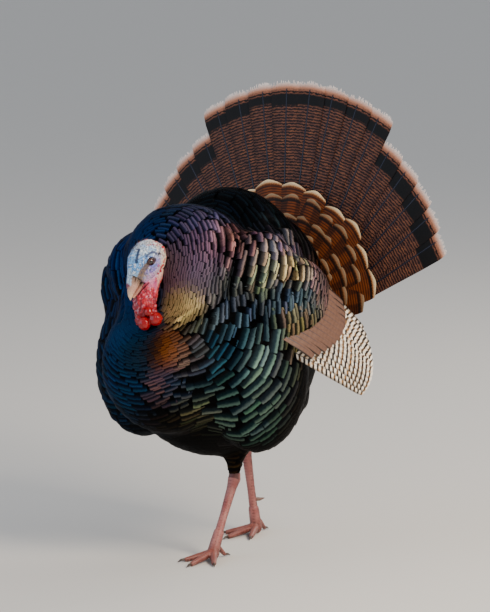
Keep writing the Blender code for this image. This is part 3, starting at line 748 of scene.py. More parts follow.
# One body feather, broad and short in the open. narrow and broad are its spacing in exposed
# lengths, longer its own length in them, overlap its half width in spacings. rise and tile are
# how far its tip and one side stand off the skin, stiff how little it wraps. yaw in degrees,
# uneven and shades say how it varies, vivid and depth how its colours deepen. outline is its
# half width at each of rowsAt, which are shares of its length.
feather = {"narrow": 3.2, "broad": 2.75, "longer": 2.9, "overlap": 0.60, "rise": 0.105,
           "tile": 0.07, "base": 0.0003, "stiff": 0.20, "tip": 0.050, "yaw": 3.5,
           "uneven": 0.08, "unevenWide": 0.05, "steer": 0.25, "rowShift": 0.487, "across": 8,
           "vivid": 1.15, "depth": 0.82, "shades": (0.06, 0.20),
           "rowsAt": (0, 0.34, 0.58, 0.72, 0.84, 0.93, 1.0),
           "outline": (0.55, 0.90, 1.0, 1.0, 1.0, 0.99, 0.95)}


def spacingOf(step):
    share = smooth(0.006, 0.016, step)
    return step * (feather["narrow"] * (1 - share) + feather["broad"] * share)


def bodyRoots():
    spacing = spacingOf(bodyStep)
    found = []
    for row in range(1, int(rowField.max())):
        # every other row starts half a feather on, as roof tiles do
        found += rowSpots(spacing, row - feather["rowShift"], 0.5 * (row % 2) + 0.25)
    return np.concatenate(found)


def vaneTemplate(across, rowsAt):
    # corners of a flat vane as (side, row), and its faces: a grid closed below by a few quads
    bm = bmesh.new()
    along = len(rowsAt) - 1
    bmesh.ops.create_grid(bm, x_segments=across, y_segments=along, size=1)
    for vert in bm.verts:
        vert.co.z = 0.3 * (1 - vert.co.x ** 2) + 0.1
    bmesh.ops.contextual_create(bm, geom=[e for e in bm.edges if e.is_boundary])
    levels = sorted({round(v.co.y, 4) for v in bm.verts})
    for level in levels[1:-1]:
        pair = [v for v in bm.verts if abs(v.co.y - level) < 1e-3 and abs(v.co.x) > 0.999]
        bmesh.ops.connect_vert_pair(bm, verts=pair)
    bmesh.ops.recalc_face_normals(bm, faces=bm.faces)
    table, faces = template(bm)
    return table[:, 0], np.round((table[:, 1] + 1) / 2 * along).astype(int), faces


def joinArrays(name, points, faces, uv, bakeUv, colours):
    # many copies of one template as a single mesh: points is (copy, corner, 3)
    copies, size = points.shape[:2]
    mesh = bpy.data.meshes.new(name)
    flat = np.concatenate([np.array(f) for f in faces])
    starts = np.concatenate([[0], np.cumsum([len(f) for f in faces])[:-1]])
    loops = (flat[None] + np.arange(copies)[:, None] * size).ravel()
    begin = (starts[None] + np.arange(copies)[:, None] * len(flat)).ravel()
    mesh.vertices.add(copies * size)
    mesh.vertices.foreach_set("co", points.astype(np.float32).ravel())
    mesh.loops.add(len(loops))
    mesh.loops.foreach_set("vertex_index", loops.astype(np.int32))
    mesh.polygons.add(len(begin))
    mesh.polygons.foreach_set("loop_start", begin.astype(np.int32))
    mesh.update(calc_edges=True)
    for layer, values in (("UVMap", uv), ("OFBake", bakeUv)):
        made = mesh.uv_layers.new(name=layer)
        made.data.foreach_set("uv", values.reshape(-1, 2)[loops].astype(np.float32).ravel())
    for layer, values in colours.items():
        paintOn(mesh, values, layer)
    mesh.set_sharp_from_angle(angle=math.radians(55))
    return mesh


def unwrapped(spots, middle=(0, 0, 0.5)):
    # the skin opened out flat: an octahedral unwrap about its middle
    way = spots - np.array(onBird(middle))
    way = way / np.abs(way).sum(axis=1, keepdims=True)
    x, y = way[:, 0].copy(), way[:, 1].copy()
    below = way[:, 2] < 0
    x[below] = (1 - np.abs(way[below, 1])) * np.where(way[below, 0] < 0, -1, 1)
    y[below] = (1 - np.abs(way[below, 0])) * np.where(way[below, 1] < 0, -1, 1)
    return np.stack([x, y], axis=1) * 0.49 + 0.5


def deepened(colours, look):
    # the same colours, darker and with their differences from grey made larger
    grey = colours.mean(axis=1, keepdims=True)
    return np.maximum(grey + (colours - grey) * look["vivid"], 0.002) * look["depth"]


def growFeathers(roots, look):
    # lays a vane over the skin from each root, following the lie of the coat
    spots, normal, way = onSkin(roots)
    step, sheen, trim = growing(spots)
    sheen, trim = deepened(sheen, look), deepened(trim, look)
    count = len(spots)
    draw = dice.uniform(-1, 1, (3, count))
    length = step * look["longer"] * (1 + look["uneven"] * draw[0])
    half = spacingOf(step) * look["overlap"] * (1 + look["unevenWide"] * draw[1])
    turn = np.radians(look["yaw"]) * draw[2]
    way = unit(way * np.cos(turn)[:, None] + np.cross(normal, way) * np.sin(turn)[:, None])
    shares = np.array(look["rowsAt"])
    here, spine, sides, ways = spots, [], [], []
    for i, share in enumerate(shares):
        if i:
            here = here + way * (length * (share - shares[i - 1]))[:, None]
            here, normal, newWay = onSkin(here)
            way = way - normal * (way * normal).sum(1, keepdims=True)
            way = unit(unit(way) * (1 - look["steer"]) + newWay * look["steer"])
        spine.append(here)
        sides.append(np.cross(way, normal))
        ways.append(way)
    spine, sides, ways = (np.stack(v, axis=1) for v in (spine, sides, ways))
    side, row, faces = vaneTemplate(look["across"], look["rowsAt"])
    drop = look["tip"] * shares[row] ** 4 * (0.4 * side ** 2 + 0.6 * side ** 8)
    wide = half[:, None] * (np.array(look["outline"])[row] * side)[None]
    flat = spine[:, row] + sides[:, row] * wide[:, :, None]
    flat = flat - ways[:, row] * (length[:, None] * drop[None])[:, :, None]
    under, normal, _ = onSkin(flat.reshape(-1, 3))
    under, normal = under.reshape(flat.shape), normal.reshape(flat.shape)
    rise = look["rise"] * length[:, None] * (shares[row] - drop)[None] ** 1.15
    rise = rise + look["base"] + look["tile"] * step[:, None] * side[None]
    points = under + (flat - under) * look["stiff"] + normal * rise[:, :, None]
    uv = np.stack([side * np.array(look["outline"])[row] * 0.5 + 0.5, shares[row]], axis=1)
    uv = np.broadcast_to(uv[None], (count, len(side), 2))
    bake = unwrapped(spots)[:, None, :] + (uv - 0.5) * 0.003
    vary = look["shades"][0] + look["shades"][1] * smooth(0.005, 0.012, step)[:, None]
    light = 1 + vary * (dice.uniform(-1, 1, (count, 1)) + 0.5 * dice.uniform(-1, 1, (count, 3)))
    tint = np.concatenate([sheen * light, dice.uniform(0, 1, (count, 1))], axis=1)
    # short feathers have a faint rim, long ones a full one
    rimmed = 0.15 + 0.60 * smooth(0.0045, 0.0075, step)[:, None]
    rimmed += 0.25 * smooth(0.008, 0.014, step)[:, None]
    trims = np.concatenate([trim * light, rimmed], axis=1)
    colours = {"tint": np.repeat(tint[:, None, :], len(side), axis=1),
               "trim": np.repeat(trims[:, None, :], len(side), axis=1)}
    return points, faces, uv, bake, colours


roots = bodyRoots()
rootAt = roots - np.array(birdAt)
# the pieces of the coat: each takes the roots that the ones before it left
coats = {
    "coatCape": (rootAt[:, 2] > 0.565) & (rootAt[:, 1] < -0.085) & (np.abs(rootAt[:, 0]) < 0.16),
    "coatBreast": (rootAt[:, 2] <= 0.565) & (rootAt[:, 1] < -0.16),
    "coatLeft": rootAt[:, 0] > 0.11,
    "coatRight": rootAt[:, 0] < -0.11,
    "coatBack": rootAt[:, 2] > 0.45,
    "coatBelly": rootAt[:, 2] > 0,
}
taken = np.zeros(len(roots), bool)
for name, inside in coats.items():
    chosen = inside & ~taken
    taken |= chosen
    points, faces, uv, bake, colours = growFeathers(roots[chosen], feather)
    addPiece(name, joinArrays(name, points, faces, uv, bake, colours), [contourKeratin],
             "feather_bronze")
    print(name, "with", int(chosen.sum()), "feathers")


# large quills, built one by one, their barbs parted and pinched where a tip frays
fray = {"short": 0.75, "shortBend": 1.6, "pinch": (0.10, 0.35), "pinchBend": 1.5}


def quillTemplate(across, along, frayFrom, seed):
    # a flat vane as (side, share, face), split into barbs beyond frayFrom, with a thickness
    draw = random.Random(seed)
    bm = bmesh.new()
    bmesh.ops.create_grid(bm, x_segments=across, y_segments=along, size=1)
    for vert in bm.verts:
        vert.co.y = (vert.co.y + 1) / 2
    edges = [e for e in bm.edges if not e.is_boundary
             and abs(e.verts[0].co.x - e.verts[1].co.x) < 1e-5
             and min(v.co.y for v in e.verts) > frayFrom - 1e-5]
    if edges:
        bmesh.ops.split_edges(bm, edges=edges)
    start = min([v.co.y for e in edges for v in e.verts] or [2])
    short = [1 - fray["short"] * draw.random() ** fray["shortBend"] for _ in range(across)]
    pinch = [fray["pinch"][0] + fray["pinch"][1] * draw.random() for _ in range(across)]
    for vert in bm.verts:
        beyond = vert.co.y - start
        if beyond > 1e-5:
            column = sum(f.calc_center_median().x for f in vert.link_faces) / len(vert.link_faces)
            at = min(int((column + 1) / 2 * across), across - 1)
            share = beyond / (1 - start)
            vert.co.x += (column - vert.co.x) * (1 - pinch[at]) * share ** fray["pinchBend"]
            vert.co.y = start + beyond * short[at]
    bmesh.ops.recalc_face_normals(bm, faces=bm.faces)
    bmesh.ops.solidify(bm, geom=bm.faces[:], thickness=1.0)
    bmesh.ops.recalc_face_normals(bm, faces=bm.faces)
    table, faces = template(bm)
    table[:, 2] -= table[:, 2].mean()
    return table, faces


def rodTemplate(sides, end, cuts=0):
    # a tapering rod from 0 to 1 along z: a quill's shaft or a bristle
    bm = bmesh.new()
    bmesh.ops.create_cone(bm, cap_ends=True, segments=sides, radius1=1, radius2=end, depth=1)
    if cuts:
        long = [e for e in bm.edges if abs(e.verts[0].co.z - e.verts[1].co.z) > 0.5]
        bmesh.ops.subdivide_edges(bm, edges=long, cuts=cuts)
    table, faces = template(bm)
    return table + (0, 0, 0.5), faces


def alongSpine(table, share):
    # spots at given shares of a line's length
    at = np.linspace(0, 1, len(table))
    return np.stack([np.interp(share, at, table[:, k]) for k in range(table.shape[1])], axis=1)


def buildQuills(name, quills, look, material, slot, nodes=()):
    # Every quill is a spine of points, sides and ups with a half width and a lot; each vane gets
    # an island of its own on OFBake, so that its bars bake.
    columns = math.ceil(math.sqrt(len(quills)))
    points, faces, uvs, bakes, lots, shafts = [], [], [], [], [], []
    rod, rodFaces = rodTemplate(6, 0.25, 14)
    until, thick = look["shaftTo"], look["shaft"]
    size = 0

    def add(spots, uv, bake, lot, made):
        nonlocal size
        points.append(spots)
        uvs.append(uv)
        bakes.append(bake)
        lots.append(np.tile([*lot, 1], (len(spots), 1)))
        faces.extend([[i + size for i in f] for f in made])
        size += len(spots)

    for number, quill in enumerate(quills):
        table, made = quillTemplate(look["across"], look["along"], look["fray"], number * 7 + 3)
        side, share = table[:, 0], table[:, 1]
        rounding = look["round"] * smooth(0.75, 1.0, share) * side ** 2
        share = share - rounding
        spine, sides, ups = (alongSpine(quill[k], share) for k in ("points", "sides", "ups"))
        half = quill["half"] * np.interp(share, look["rowsAt"], look["outline"])
        height = look["camber"] * half * (1 - side ** 2) + table[:, 2] * look["thick"]
        spots = spine + sides * (side * half)[:, None] + ups * height[:, None]
        down = (1 - share - rounding * 0.6) * quill["length"]
        cell = np.array([number % columns, number // columns])
        inside = np.stack([side * 0.5 + 0.5, share], axis=1) * 0.92 + 0.04
        add(spots, np.stack([side * half * 10, down * 10], axis=1), (cell + inside) / columns,
            quill["lot"], made)
        lie = rod[:, 2] * until
        spine, sides, ups = (alongSpine(quill[k], lie) for k in ("points", "sides", "ups"))
        lift = look["camber"] * quill["half"] * 0.8 + thick * 0.35
        spots = spine + sides * (rod[:, :1] * thick) + ups * (rod[:, 1:2] * thick * 0.7 + lift)
        inside = np.stack([rod[:, 0] * 0.004 + 0.012, rod[:, 2] * 0.9 + 0.05], axis=1)
        shafts += list(range(len(faces), len(faces) + len(rodFaces)))
        add(spots, np.stack([rod[:, 0] * 0, (1 - lie) * quill["length"] * 10], axis=1),
            (cell + inside) / columns, quill["lot"], rodFaces)
    mesh = joinArrays(name, np.concatenate(points)[None], faces, np.concatenate(uvs)[None],
                      np.concatenate(bakes)[None], {"tint": np.concatenate(lots)[None]})
    piece = addPiece(name, mesh, [material, shaftKeratin], slot, nodes)
    index = np.zeros(len(mesh.polygons), np.int32)
    index[shafts] = 1
    mesh.polygons.foreach_set("material_index", index)
    print(name, "with", len(quills), "quills,", len(faces), "faces")
    return piece


# the tail: eighteen quills fanned from a hub, the middle ones proud of the outer
tail = {"hub": (0, 0.248, 0.415), "root": (0, 0.248, 0.486), "radius": 0.577, "side": 0.883,
        "spread": 57.2, "tilt": -1.9, "lean": -8.5, "sweep": 0.037, "quills": 18,
        "central": 0.505, "step": 0.930, "proud": 1.008, "start": 0.075, "half": 0.042,
        "halfOuter": 0.038, "wave": 0.006, "ahead": (0.006, -0.005), "twist": 1.6,
        "band": 0.02, "bandOuter": 0.22, "bandVary": 0.05,
        "across": 26, "along": 44, "fray": 0.955, "round": 0.012, "thick": 0.0006,
        "camber": 0.05, "shaft": 0.0017, "shaftTo": 0.965,
        "rowsAt": (0, 0.3, 0.6, 0.8, 0.93, 0.97, 1.0),
        "outline": (0.20, 0.42, 0.70, 0.90, 1.0, 0.95, 0.84)}


def fanPoint(hub, radius, angle, ahead=0.0):
    angle += math.radians(tail["tilt"])
    up = Matrix.Rotation(math.radians(tail["lean"]), 3, "X") @ Vector((0, 0, 1))
    spot = Vector(hub) + up * radius * math.cos(angle)
    spot.x += radius * math.sin(angle)
    spot.y += tail["sweep"] * spot.x * spot.x - ahead
    return np.array(onBird(spot))


def fanQuill(hub, start, reach, angle, depths, half, lot, twist=0.0, rows=20):
    # a quill that runs out from a hub in the plane of the fan, facing forward
    points, sides, ups = [], [], []
    for share in np.linspace(0, 1, rows):
        radius = start + (reach - start) * share
        deep = depths[0] + (depths[1] - depths[0]) * share
        points.append(fanPoint(hub, radius, angle, deep))
        across, along = (fanPoint(hub, radius + out, angle + turn, deep)
                         - fanPoint(hub, radius - out, angle - turn, deep)
                         for out, turn in ((0, 0.01), (0.01, 0)))
        along = unit(along)
        across = unit(across - along * (across @ along))
        face = np.cross(across, along)
        if face[1] > 0:
            face = -face
        sides.append(across * math.cos(twist) + face * math.sin(twist))
        ups.append(face * math.cos(twist) - across * math.sin(twist))
    return {"points": np.array(points), "sides": np.array(sides), "ups": np.array(ups),
            "half": half, "length": reach - start, "lot": lot}


def rectrices():
    made = []
    for number in range(tail["quills"]):
        share = number / (tail["quills"] - 1)
        side = abs(2 * share - 1)
        reach = tail["radius"] * (1 - (1 - tail["side"]) * side ** 2)
        reach *= tail["step"] if side > tail["central"] else tail["proud"]
        angle = math.radians(tail["spread"]) * (2 * share - 1)
        angle += random.uniform(-1, 1) * tail["wave"]
        ahead = tail["ahead"][0] * (1 - side) + tail["ahead"][1] * side
        band = tail["band"] + tail["bandOuter"] * side ** 1.5
        band += tail["bandVary"] * random.uniform(-1, 1)
        twist = math.radians(tail["twist"]) * (1 if share > 0.5 else -1)
        half = tail["half"] * (1 - side) + tail["halfOuter"] * side
        made.append(fanQuill(tail["hub"], tail["start"], reach, angle, (ahead, ahead), half,
                             (band, 0, 0), twist))
    return made


buildQuills("tailQuills", rectrices(), tail, tailKeratin, "tail_barred", ["tail_fan"])

# upper tail coverts: rows of (count, reach, ahead, half width), the longest behind
coverts = {"rows": ((12, 0.300, 0.009, 0.038), (13, 0.262, 0.0125, 0.034),
                    (14, 0.226, 0.016, 0.030), (15, 0.192, 0.020, 0.026),
                    (17, 0.160, 0.024, 0.021), (18, 0.132, 0.028, 0.017)),
           "side": 0.86, "spread": 80, "start": 0.045, "rootAhead": 0.01, "layer": 0.0010,
           "twist": 0.06, "across": 14, "along": 14, "fray": 0.96, "round": 0.055,
           "thick": 0.0006, "camber": 0.12, "shaft": 0.0007, "shaftTo": 0.9,
           "rowsAt": (0, 0.4, 0.7, 0.85, 0.93, 0.97, 1.0),
           "outline": (0.3, 0.7, 0.98, 1.0, 0.95, 0.86, 0.68)}


def tailCoverts():
    made = []
    for level, (count, radius, ahead, half) in enumerate(coverts["rows"]):
        for number in range(count):
            share = (number + 0.5 * (level % 2 + 0.5)) / count
            angle = math.radians(coverts["spread"]) * (2 * share - 1)
            angle += random.uniform(-0.02, 0.02)
            reach = radius * (1 - (1 - coverts["side"]) * math.sin(angle) ** 2)
            reach *= random.uniform(0.93, 1.03)
            # the longest row has the full fringe, and its crescents grow towards the sides
            low = smooth(0.3, 1.3, abs(angle))
            lot = (0.5 + 0.5 * low, 1.0, 0.2) if level == 0 else (0.9, 0.3, 0.6)
            deep = ahead + coverts["layer"] * (number % 2)
            wide = half * random.uniform(0.84, 1.06)
            twist = random.uniform(-coverts["twist"], coverts["twist"])
            made.append(fanQuill(tail["root"], coverts["start"], reach, angle,
                                 (deep + coverts["rootAhead"], deep), wide, lot, twist, 10))
    return made


buildQuills("tailCoverts", tailCoverts(), coverts, covertKeratin, "feather_rufous",
            ["tail_coverts"])

# under tail coverts: soft barred feathers behind the fan, spread from the vent
underTail = dict(coverts, rows=((15, 1.0, -0.014, 0.036), (14, 0.80, -0.020, 0.032),
                                (13, 0.60, -0.026, 0.028), (12, 0.36, -0.031, 0.024)),
                 spread=165, start=0.002, reach=0.225, low=0.66, rootAhead=-0.030, twist=0.08)


def underCoverts():
    made = []
    for level, (count, grow, ahead, half) in enumerate(underTail["rows"]):
        for number in range(count):
            angle = math.radians(underTail["spread"]) * (2 * (number + 0.5) / count - 1)
            reach = underTail["low"] + (1 - underTail["low"]) * math.cos(angle)
            reach *= underTail["reach"] * grow
            twist = random.uniform(-underTail["twist"], underTail["twist"])
            quill = fanQuill(tail["root"], underTail["start"], reach, angle,
                             (underTail["rootAhead"] - 0.003 * level, ahead), half,
                             (0.8, 1.0, 0.3), twist, 10)
            quill["ups"], quill["sides"] = -quill["ups"], -quill["sides"]
            made.append(quill)
    return made


buildQuills("undertailCoverts", underCoverts(), underTail, covertKeratin, "feather_rufous",
            ["undertail_coverts"])

# The wing quills droop from the forearm to a bent line of tips. Each kind has its stretch of
# the forearm, how far out it lies, its half width and the step out from quill to quill.
wing = {"wrist": (0.224, -0.082, 0.486), "elbow": (0.212, 0.028, 0.634), "count": 12,
        "bow": 0.008,
        "primaries": {"span": (0.0, 1.0), "out": -0.006, "half": 0.0135, "layer": 0.0006,
                      "tips": ((0.280, 0.172, 0.352), (0.284, 0.196, 0.405),
                               (0.262, 0.180, 0.490))},
        "secondaries": {"span": (0.11, 0.95), "out": 0.006, "half": 0.0125, "layer": 0.0005,
                        "tips": ((0.266, -0.058, 0.452), (0.273, 0.080, 0.486),
                                 (0.242, 0.112, 0.562))},
        "across": 10, "along": 30, "fray": 0.985, "round": 0.02, "thick": 0.0006,
        "camber": 0.10, "shaft": 0.0011, "shaftTo": 0.965,
        "rowsAt": (0, 0.3, 0.6, 0.85, 0.94, 0.98, 1.0),
        "outline": (0.5, 0.8, 1.0, 1.0, 0.95, 0.82, 0.6)}


def bend(points, share):
    # a spot on the curve from the first point to the last by way of the middle one
    start, middle, end = (Vector(p) for p in points)
    pull = middle * 2 - (start + end) / 2
    return start.lerp(pull, share).lerp(pull.lerp(end, share), share)


def wingQuills(flip, kind):
    made = []
    wrist, elbow, tips = Vector(wing["wrist"]), Vector(wing["elbow"]), kind["tips"]
    mirror = Matrix.Diagonal((flip, 1, 1))
    begin, end = kind["span"]
    for number in range(wing["count"]):
        share = begin + (end - begin) * (number + 0.5) / wing["count"]
        root, tip = wrist.lerp(elbow, share), bend(tips, share)
        ahead = bend(tips, min(share + 0.05, 1)) - bend(tips, max(share - 0.05, 0))
        ahead += (elbow - wrist) * 0.1
        for spot in (root, tip):
            spot.x += kind["out"] + kind["layer"] * number
        along = (tip - root).normalized()
        ups = along.cross(ahead).normalized()
        if ups.x < 0:
            ups.negate()
        across = ups.cross(along)
        points = [root.lerp(tip, s) + Vector((wing["bow"], 0, 0)) * math.sin(math.pi * s)
                  for s in np.linspace(0, 1, 12)]
        made.append({"points": np.array([onBird(mirror @ p) for p in points]),
                     "sides": np.tile(np.array(mirror @ across), (12, 1)),
                     "ups": np.tile(np.array(mirror @ ups), (12, 1)), "half": kind["half"],
                     "length": (tip - root).length, "lot": (random.random(), 0, 0)})
    return made


for sideName, flip in (("Left", 1), ("Right", -1)):
    for kind, keratin, slot in (("primaries", primaryKeratin, "quill_barred"),
                                ("secondaries", secondaryKeratin, "quill_brown")):
        buildQuills(kind + sideName, wingQuills(flip, wing[kind]), wing, keratin, slot,
                    [kind + "_" + sideName.lower()])

# the bare head and neck
headNodes = ["head", "neck", "snood", "wattles"]
bareParts = {"swell": 0.0005, "headVoxel": 0.00125, "headRelax": 3, "legVoxel": 0.0017,
             "legRelax": 2}
headForm = voxelled(merged(headNodes, bareParts["swell"]), bareParts["headVoxel"],
                    bareParts["headRelax"])


def headFrame(spots):
    # spots in the head's own frame, in mm
    local = (spots - np.array(headAt)) @ np.array(headTurn) * 1000
    local[:, 1] *= -1
    return local


def headLine(points, flip=1):
    # points in the head's own frame, in mm, as spots of the scene
    return np.array([onHead(x * flip / 1000, y / 1000, z / 1000) for x, y, z in points])


# swells of the skin, in the head's own frame: place (across, ahead, up), reach and height in mm
headSwells = {"napeTop": ((8, -38, -18), 16, 3.0), "nape": ((14, -16, -36), 18, 4.0),
              "napeLow": ((12, 10, -50), 16, 3.5), "jowl": ((22, 26, -22), 11, 2.0),
              "brow": ((25, -6, 17), 7, 1.8), "forehead": ((0, 22, 34), 10, 1.0),
              "ear": ((27, -25, -4), 3.0, -2.4), "earRim": ((27, -31, -4), 3.5, 1.2),
              "loreHollow": ((22, 20, 3), 6, -1.2), "underEye": ((28, 6, -2), 6, 1.0),
              "throatFold": ((10, 88, -30), 9, 1.8)}
# skin colours: place, reach in mm and colour
headPaint = {"crown": ((0, -22, 36), 16, "dceaf4"), "crownSide": ((14, -12, 31), 10, "bcdcf2"),
             "crownTop": ((11, -39, 18), 9, "ece8e0"), "forehead": ((6, 8, 37), 12, "80c0f4"),
             "foreheadLow": ((9, 27, 27), 9, "6cb0f0"), "billRoot": ((9, 40, 17), 7, "b0d4ee"),
             "temple": ((22, 6, 22), 8, "68a8ec"), "browBack": ((24, -24, 16), 8, "a8ccec"),
             "eyeRound": ((29, -2, 6), 7, "6c80d0"), "lore": ((20, 30, 2), 7, "b89c94"),
             "cheekTop": ((24, 20, 3), 6, "9484d0"), "cheek": ((28, 10, -3), 7, "9c88dc"),
             "cheekBack": ((29, -8, -8), 8, "ac98e0"), "cheekLow": ((20, 26, -14), 8, "cca0cc"),
             "behindEye": ((27, -16, -2), 6, "b4bce4"), "behindEar": ((25, -33, -4), 7, "ecdcc8"),
             "napeTop": ((6, -40, -18), 13, "f0dcc0"), "nape": ((18, -15, -27), 11, "f0dcc0"),
             "napeBack": ((14, -8, -44), 11, "ecc8b0"), "napeFront": ((24, 6, -26), 7, "d8bcd0"),
             "napeLow": ((13, 12, -52), 12, "e4a898"), "jowl": ((22, 33, -26), 8, "d05c88"),
             "throat": ((17, 58, -22), 9, "c01038"), "throatSide": ((23, 60, -38), 9, "d03458"),
             "throatLow": ((19, 84, -30), 10, "a40c30"), "throatEnd": ((8, 96, -28), 10, "90082c"),
             "neckBack": ((10, 44, -66), 13, "d87c7c"), "neckLow": ((6, 78, -66), 14, "a41c38"),
             "neckMiddle": ((24, 78, -42), 8, "c4284c")}
# painted strokes: half width in mm, colour, strength and line
headStrokes = {
    "snood": (6.8, "c0dcf0", 0.9, ((-1, 24, 26), (-2, 43, 18), (-3, 56, 12), (-3, 68, 6))),
    "snoodTip": (5.0, "8c2c40", 0.9, ((-3, 62, 9), (-3, 70, 5))),
    "lore": (6.5, "7c6450", 0.92, ((26, 11, 11), (22, 22, 10.5), (18, 35, 8), (13, 46, 4))),
    "brow": (2.6, "0a2c60", 0.95, ((25.4, -5.6, 20.3), (25.7, -16, 16.6), (26.2, -21.9, 9.3),
                                  (27.7, -21.7, 2.1))),
    "streak": (3.0, "082c54", 0.95, ((10.3, -12.1, 34.3), (14, 1.3, 33.9), (14.8, 13.4, 30.1))),
    # painted shade: the ear opening is near black for the shade inside it
    "ear": (3.0, "181c20", 0.95, ((27, -24, -3), (27, -26, -6)))}
# red bulbs of the wattle: place on the bird and reach in metres
bulbs = (((0.036, -0.235, 0.540), 0.0165), ((0.015, -0.246, 0.530), 0.0165),
         ((0.001, -0.243, 0.536), 0.0135), ((0.024, -0.244, 0.555), 0.0110))
# eyelids round the ball, in mm: the opening's size and lean, the rim and a fold outside it
lids = {"at": (24.5, -2.0, 6.8), "lean": (0.79, 0.61), "long": 8.6, "tall": 6.4,
        "ball": 8.6, "clear": 0.45, "sunk": 1.3, "rim": 1.1, "rimAt": 1.10, "rimWide": 0.13,
        "fold": 0.65, "foldAt": 1.62, "foldWide": 0.14, "ringTo": 1.22, "ringWide": 0.14}
# relief of the bare skin in metres: folds, the net of fine ones, the gape and the warts
headFolds = {"throat": 0.0014, "bulb": 0.0003, "net": 0.0004, "foldSize": 0.0075,
             "netSize": 0.0034, "lip": 0.0013, "gape": 0.0020, "wart": 0.0011, "warts": 420,
             "wartSize": (0.0010, 0.0026), "wartFoot": 1.35}
# the gape, where the mouth closes, from the cheek to the bill in mm
gapeLine = ((19, 38, -18), (16, 46, -16.5), (10, 58, -15.5), (5.2, 69.8, -14.6))


def onFace(tree, points):
    # strokes on both sides, laid on the skin
    for flip in (1, -1):
        line = headLine(points, flip)
        count = max(2, int(np.linalg.norm(np.diff(line, axis=0), axis=1).sum() / 0.002))
        line = alongSpine(line, np.linspace(0, 1, count))
        yield np.array([tree.find_nearest(Vector(point))[0] for point in line])


def headBlend(spots, marks):
    # how near each spot is to each mark, on both sides of the head
    centres = np.concatenate([headLine([mark[0]], flip) for mark in marks for flip in (1, -1)])
    reach = np.repeat([mark[1] / 1000 for mark in marks], 2)
    gap = np.linalg.norm(spots[:, None] - centres[None], axis=2) / reach
    return np.exp(-gap * gap)


def warts(spots, weight, throat):
    # how high each spot lies on a wart; they are larger down the throat
    chosen = dice.choice(len(spots), headFolds["warts"], replace=False,
                         p=weight / weight.sum())
    tree = KDTree(len(spots))
    for i, spot in enumerate(spots):
        tree.insert(spot, i)
    tree.balance()
    wart = np.zeros(len(spots))
    for index in chosen:
        radius = dice.uniform(*headFolds["wartSize"]) * (1 + 0.5 * throat[index])
        foot = radius * headFolds["wartFoot"]
        for _, near, gap in tree.find_range(spots[index], foot):
            rise = math.sqrt(max(0.0, 1 - (gap / foot) ** 2)) * radius / 0.0022
            wart[near] = max(wart[near], rise)
    return wart


def sculptHead():
    # swells, folds, gape, warts and lids; returns the colours that go with them
    look = headFolds
    spots, normals = corners(headForm)
    heights = np.repeat([mark[2] / 1000 for mark in headSwells.values()], 2)
    spots = spots + normals * (headBlend(spots, headSwells.values()) @ heights)[:, None]
    local = headFrame(spots)
    throat = np.clip(smooth(30, 60, local[:, 1]) + smooth(-40, -60, local[:, 2]), 0, 1)
    throat *= smooth(2, -8, local[:, 2])
    bulb = np.zeros(len(spots))
    for at, size in bulbs:
        gap = np.linalg.norm(spots - np.array(onBird(at)), axis=1) / size
        bulb = np.maximum(bulb, 1 - smooth(0.92, 1.12, gap))
    # folds: deep and upright on the throat, fine and netted on the cheek, faint on the crown
    deep = 1 - np.abs(noiseAt(spots * np.array([1, 1, 0.45]), look["foldSize"])) * 2.2
    fine = 1 - np.abs(noiseAt(spots, look["netSize"], 7)) * 2.4
    height = (look["throat"] * throat * (1 - bulb) + look["bulb"] * bulb) * deep
    height += look["net"] * (1 + throat) * (1 - 0.75 * bulb) * fine
    tree = BVHTree.FromBMesh(headForm)
    gape = np.min([toLine(spots, line)[0] for line in onFace(tree, gapeLine)], axis=0)
    height += look["lip"] * np.exp(-((gape - 0.0026) / 0.0012) ** 2)
    height -= look["gape"] * np.exp(-(gape / 0.0013) ** 2)
    weight = 0.5 * smooth(-4, -30, local[:, 1] * 0.6 + local[:, 2]) + 0.9 * throat * (1 - bulb)
    weight *= 1 - smooth(-8, 4, local[:, 2]) * 0.96
    weight += 0.5 * smooth(-18, -30, local[:, 1])
    wart = warts(spots, weight, throat)
    spots = spots + normals * (height + look["wart"] * wart)[:, None]
    # the lids drape the ball outside their opening, and sink under it inside
    local = headFrame(spots)
    lidAndShadePaint = np.zeros(len(spots))
    level, steep = lids["lean"]
    for side in (1, -1):
        away = local - np.array(lids["at"]) * [side, 1, 1]
        far = np.linalg.norm(away, axis=1)
        slant = level * away[:, 1] + steep * away[:, 2]
        rise = level * away[:, 2] - steep * away[:, 1]
        opening = (np.abs(slant) / lids["long"]) ** 1.7 + (np.abs(rise) / lids["tall"]) ** 2
        near = (far < 14) & (away[:, 0] * side > 0)
        inside, outside = near & (opening < 1), near & (opening >= 1)
        out = np.sqrt(opening)
        edge = np.exp(-((out - lids["rimAt"]) / lids["rimWide"]) ** 2)
        fold = np.exp(-((out - lids["foldAt"]) / lids["foldWide"]) ** 2)
        wanted = lids["ball"] + lids["clear"] + lids["rim"] * edge + lids["fold"] * fold
        grow = np.where(inside, np.minimum(far, lids["ball"] - lids["sunk"]), far)
        grow = np.where(outside & (far < wanted), wanted, grow)
        move = (away / far[:, None]) * (grow - far)[:, None] * [1, -1, 1] / 1000
        spots = spots + move @ np.array(headTurn).T
        # the ring of dark lid skin and painted shade round the eye
        ring = np.exp(-(np.maximum(out - lids["ringTo"], 0) / lids["ringWide"]) ** 2)
        lidAndShadePaint = np.maximum(lidAndShadePaint, np.where(near, ring, 0))
    setCorners(headForm, spots)
    return paintHead(spots, throat, bulb, gape, wart, lidAndShadePaint, deep, fine)


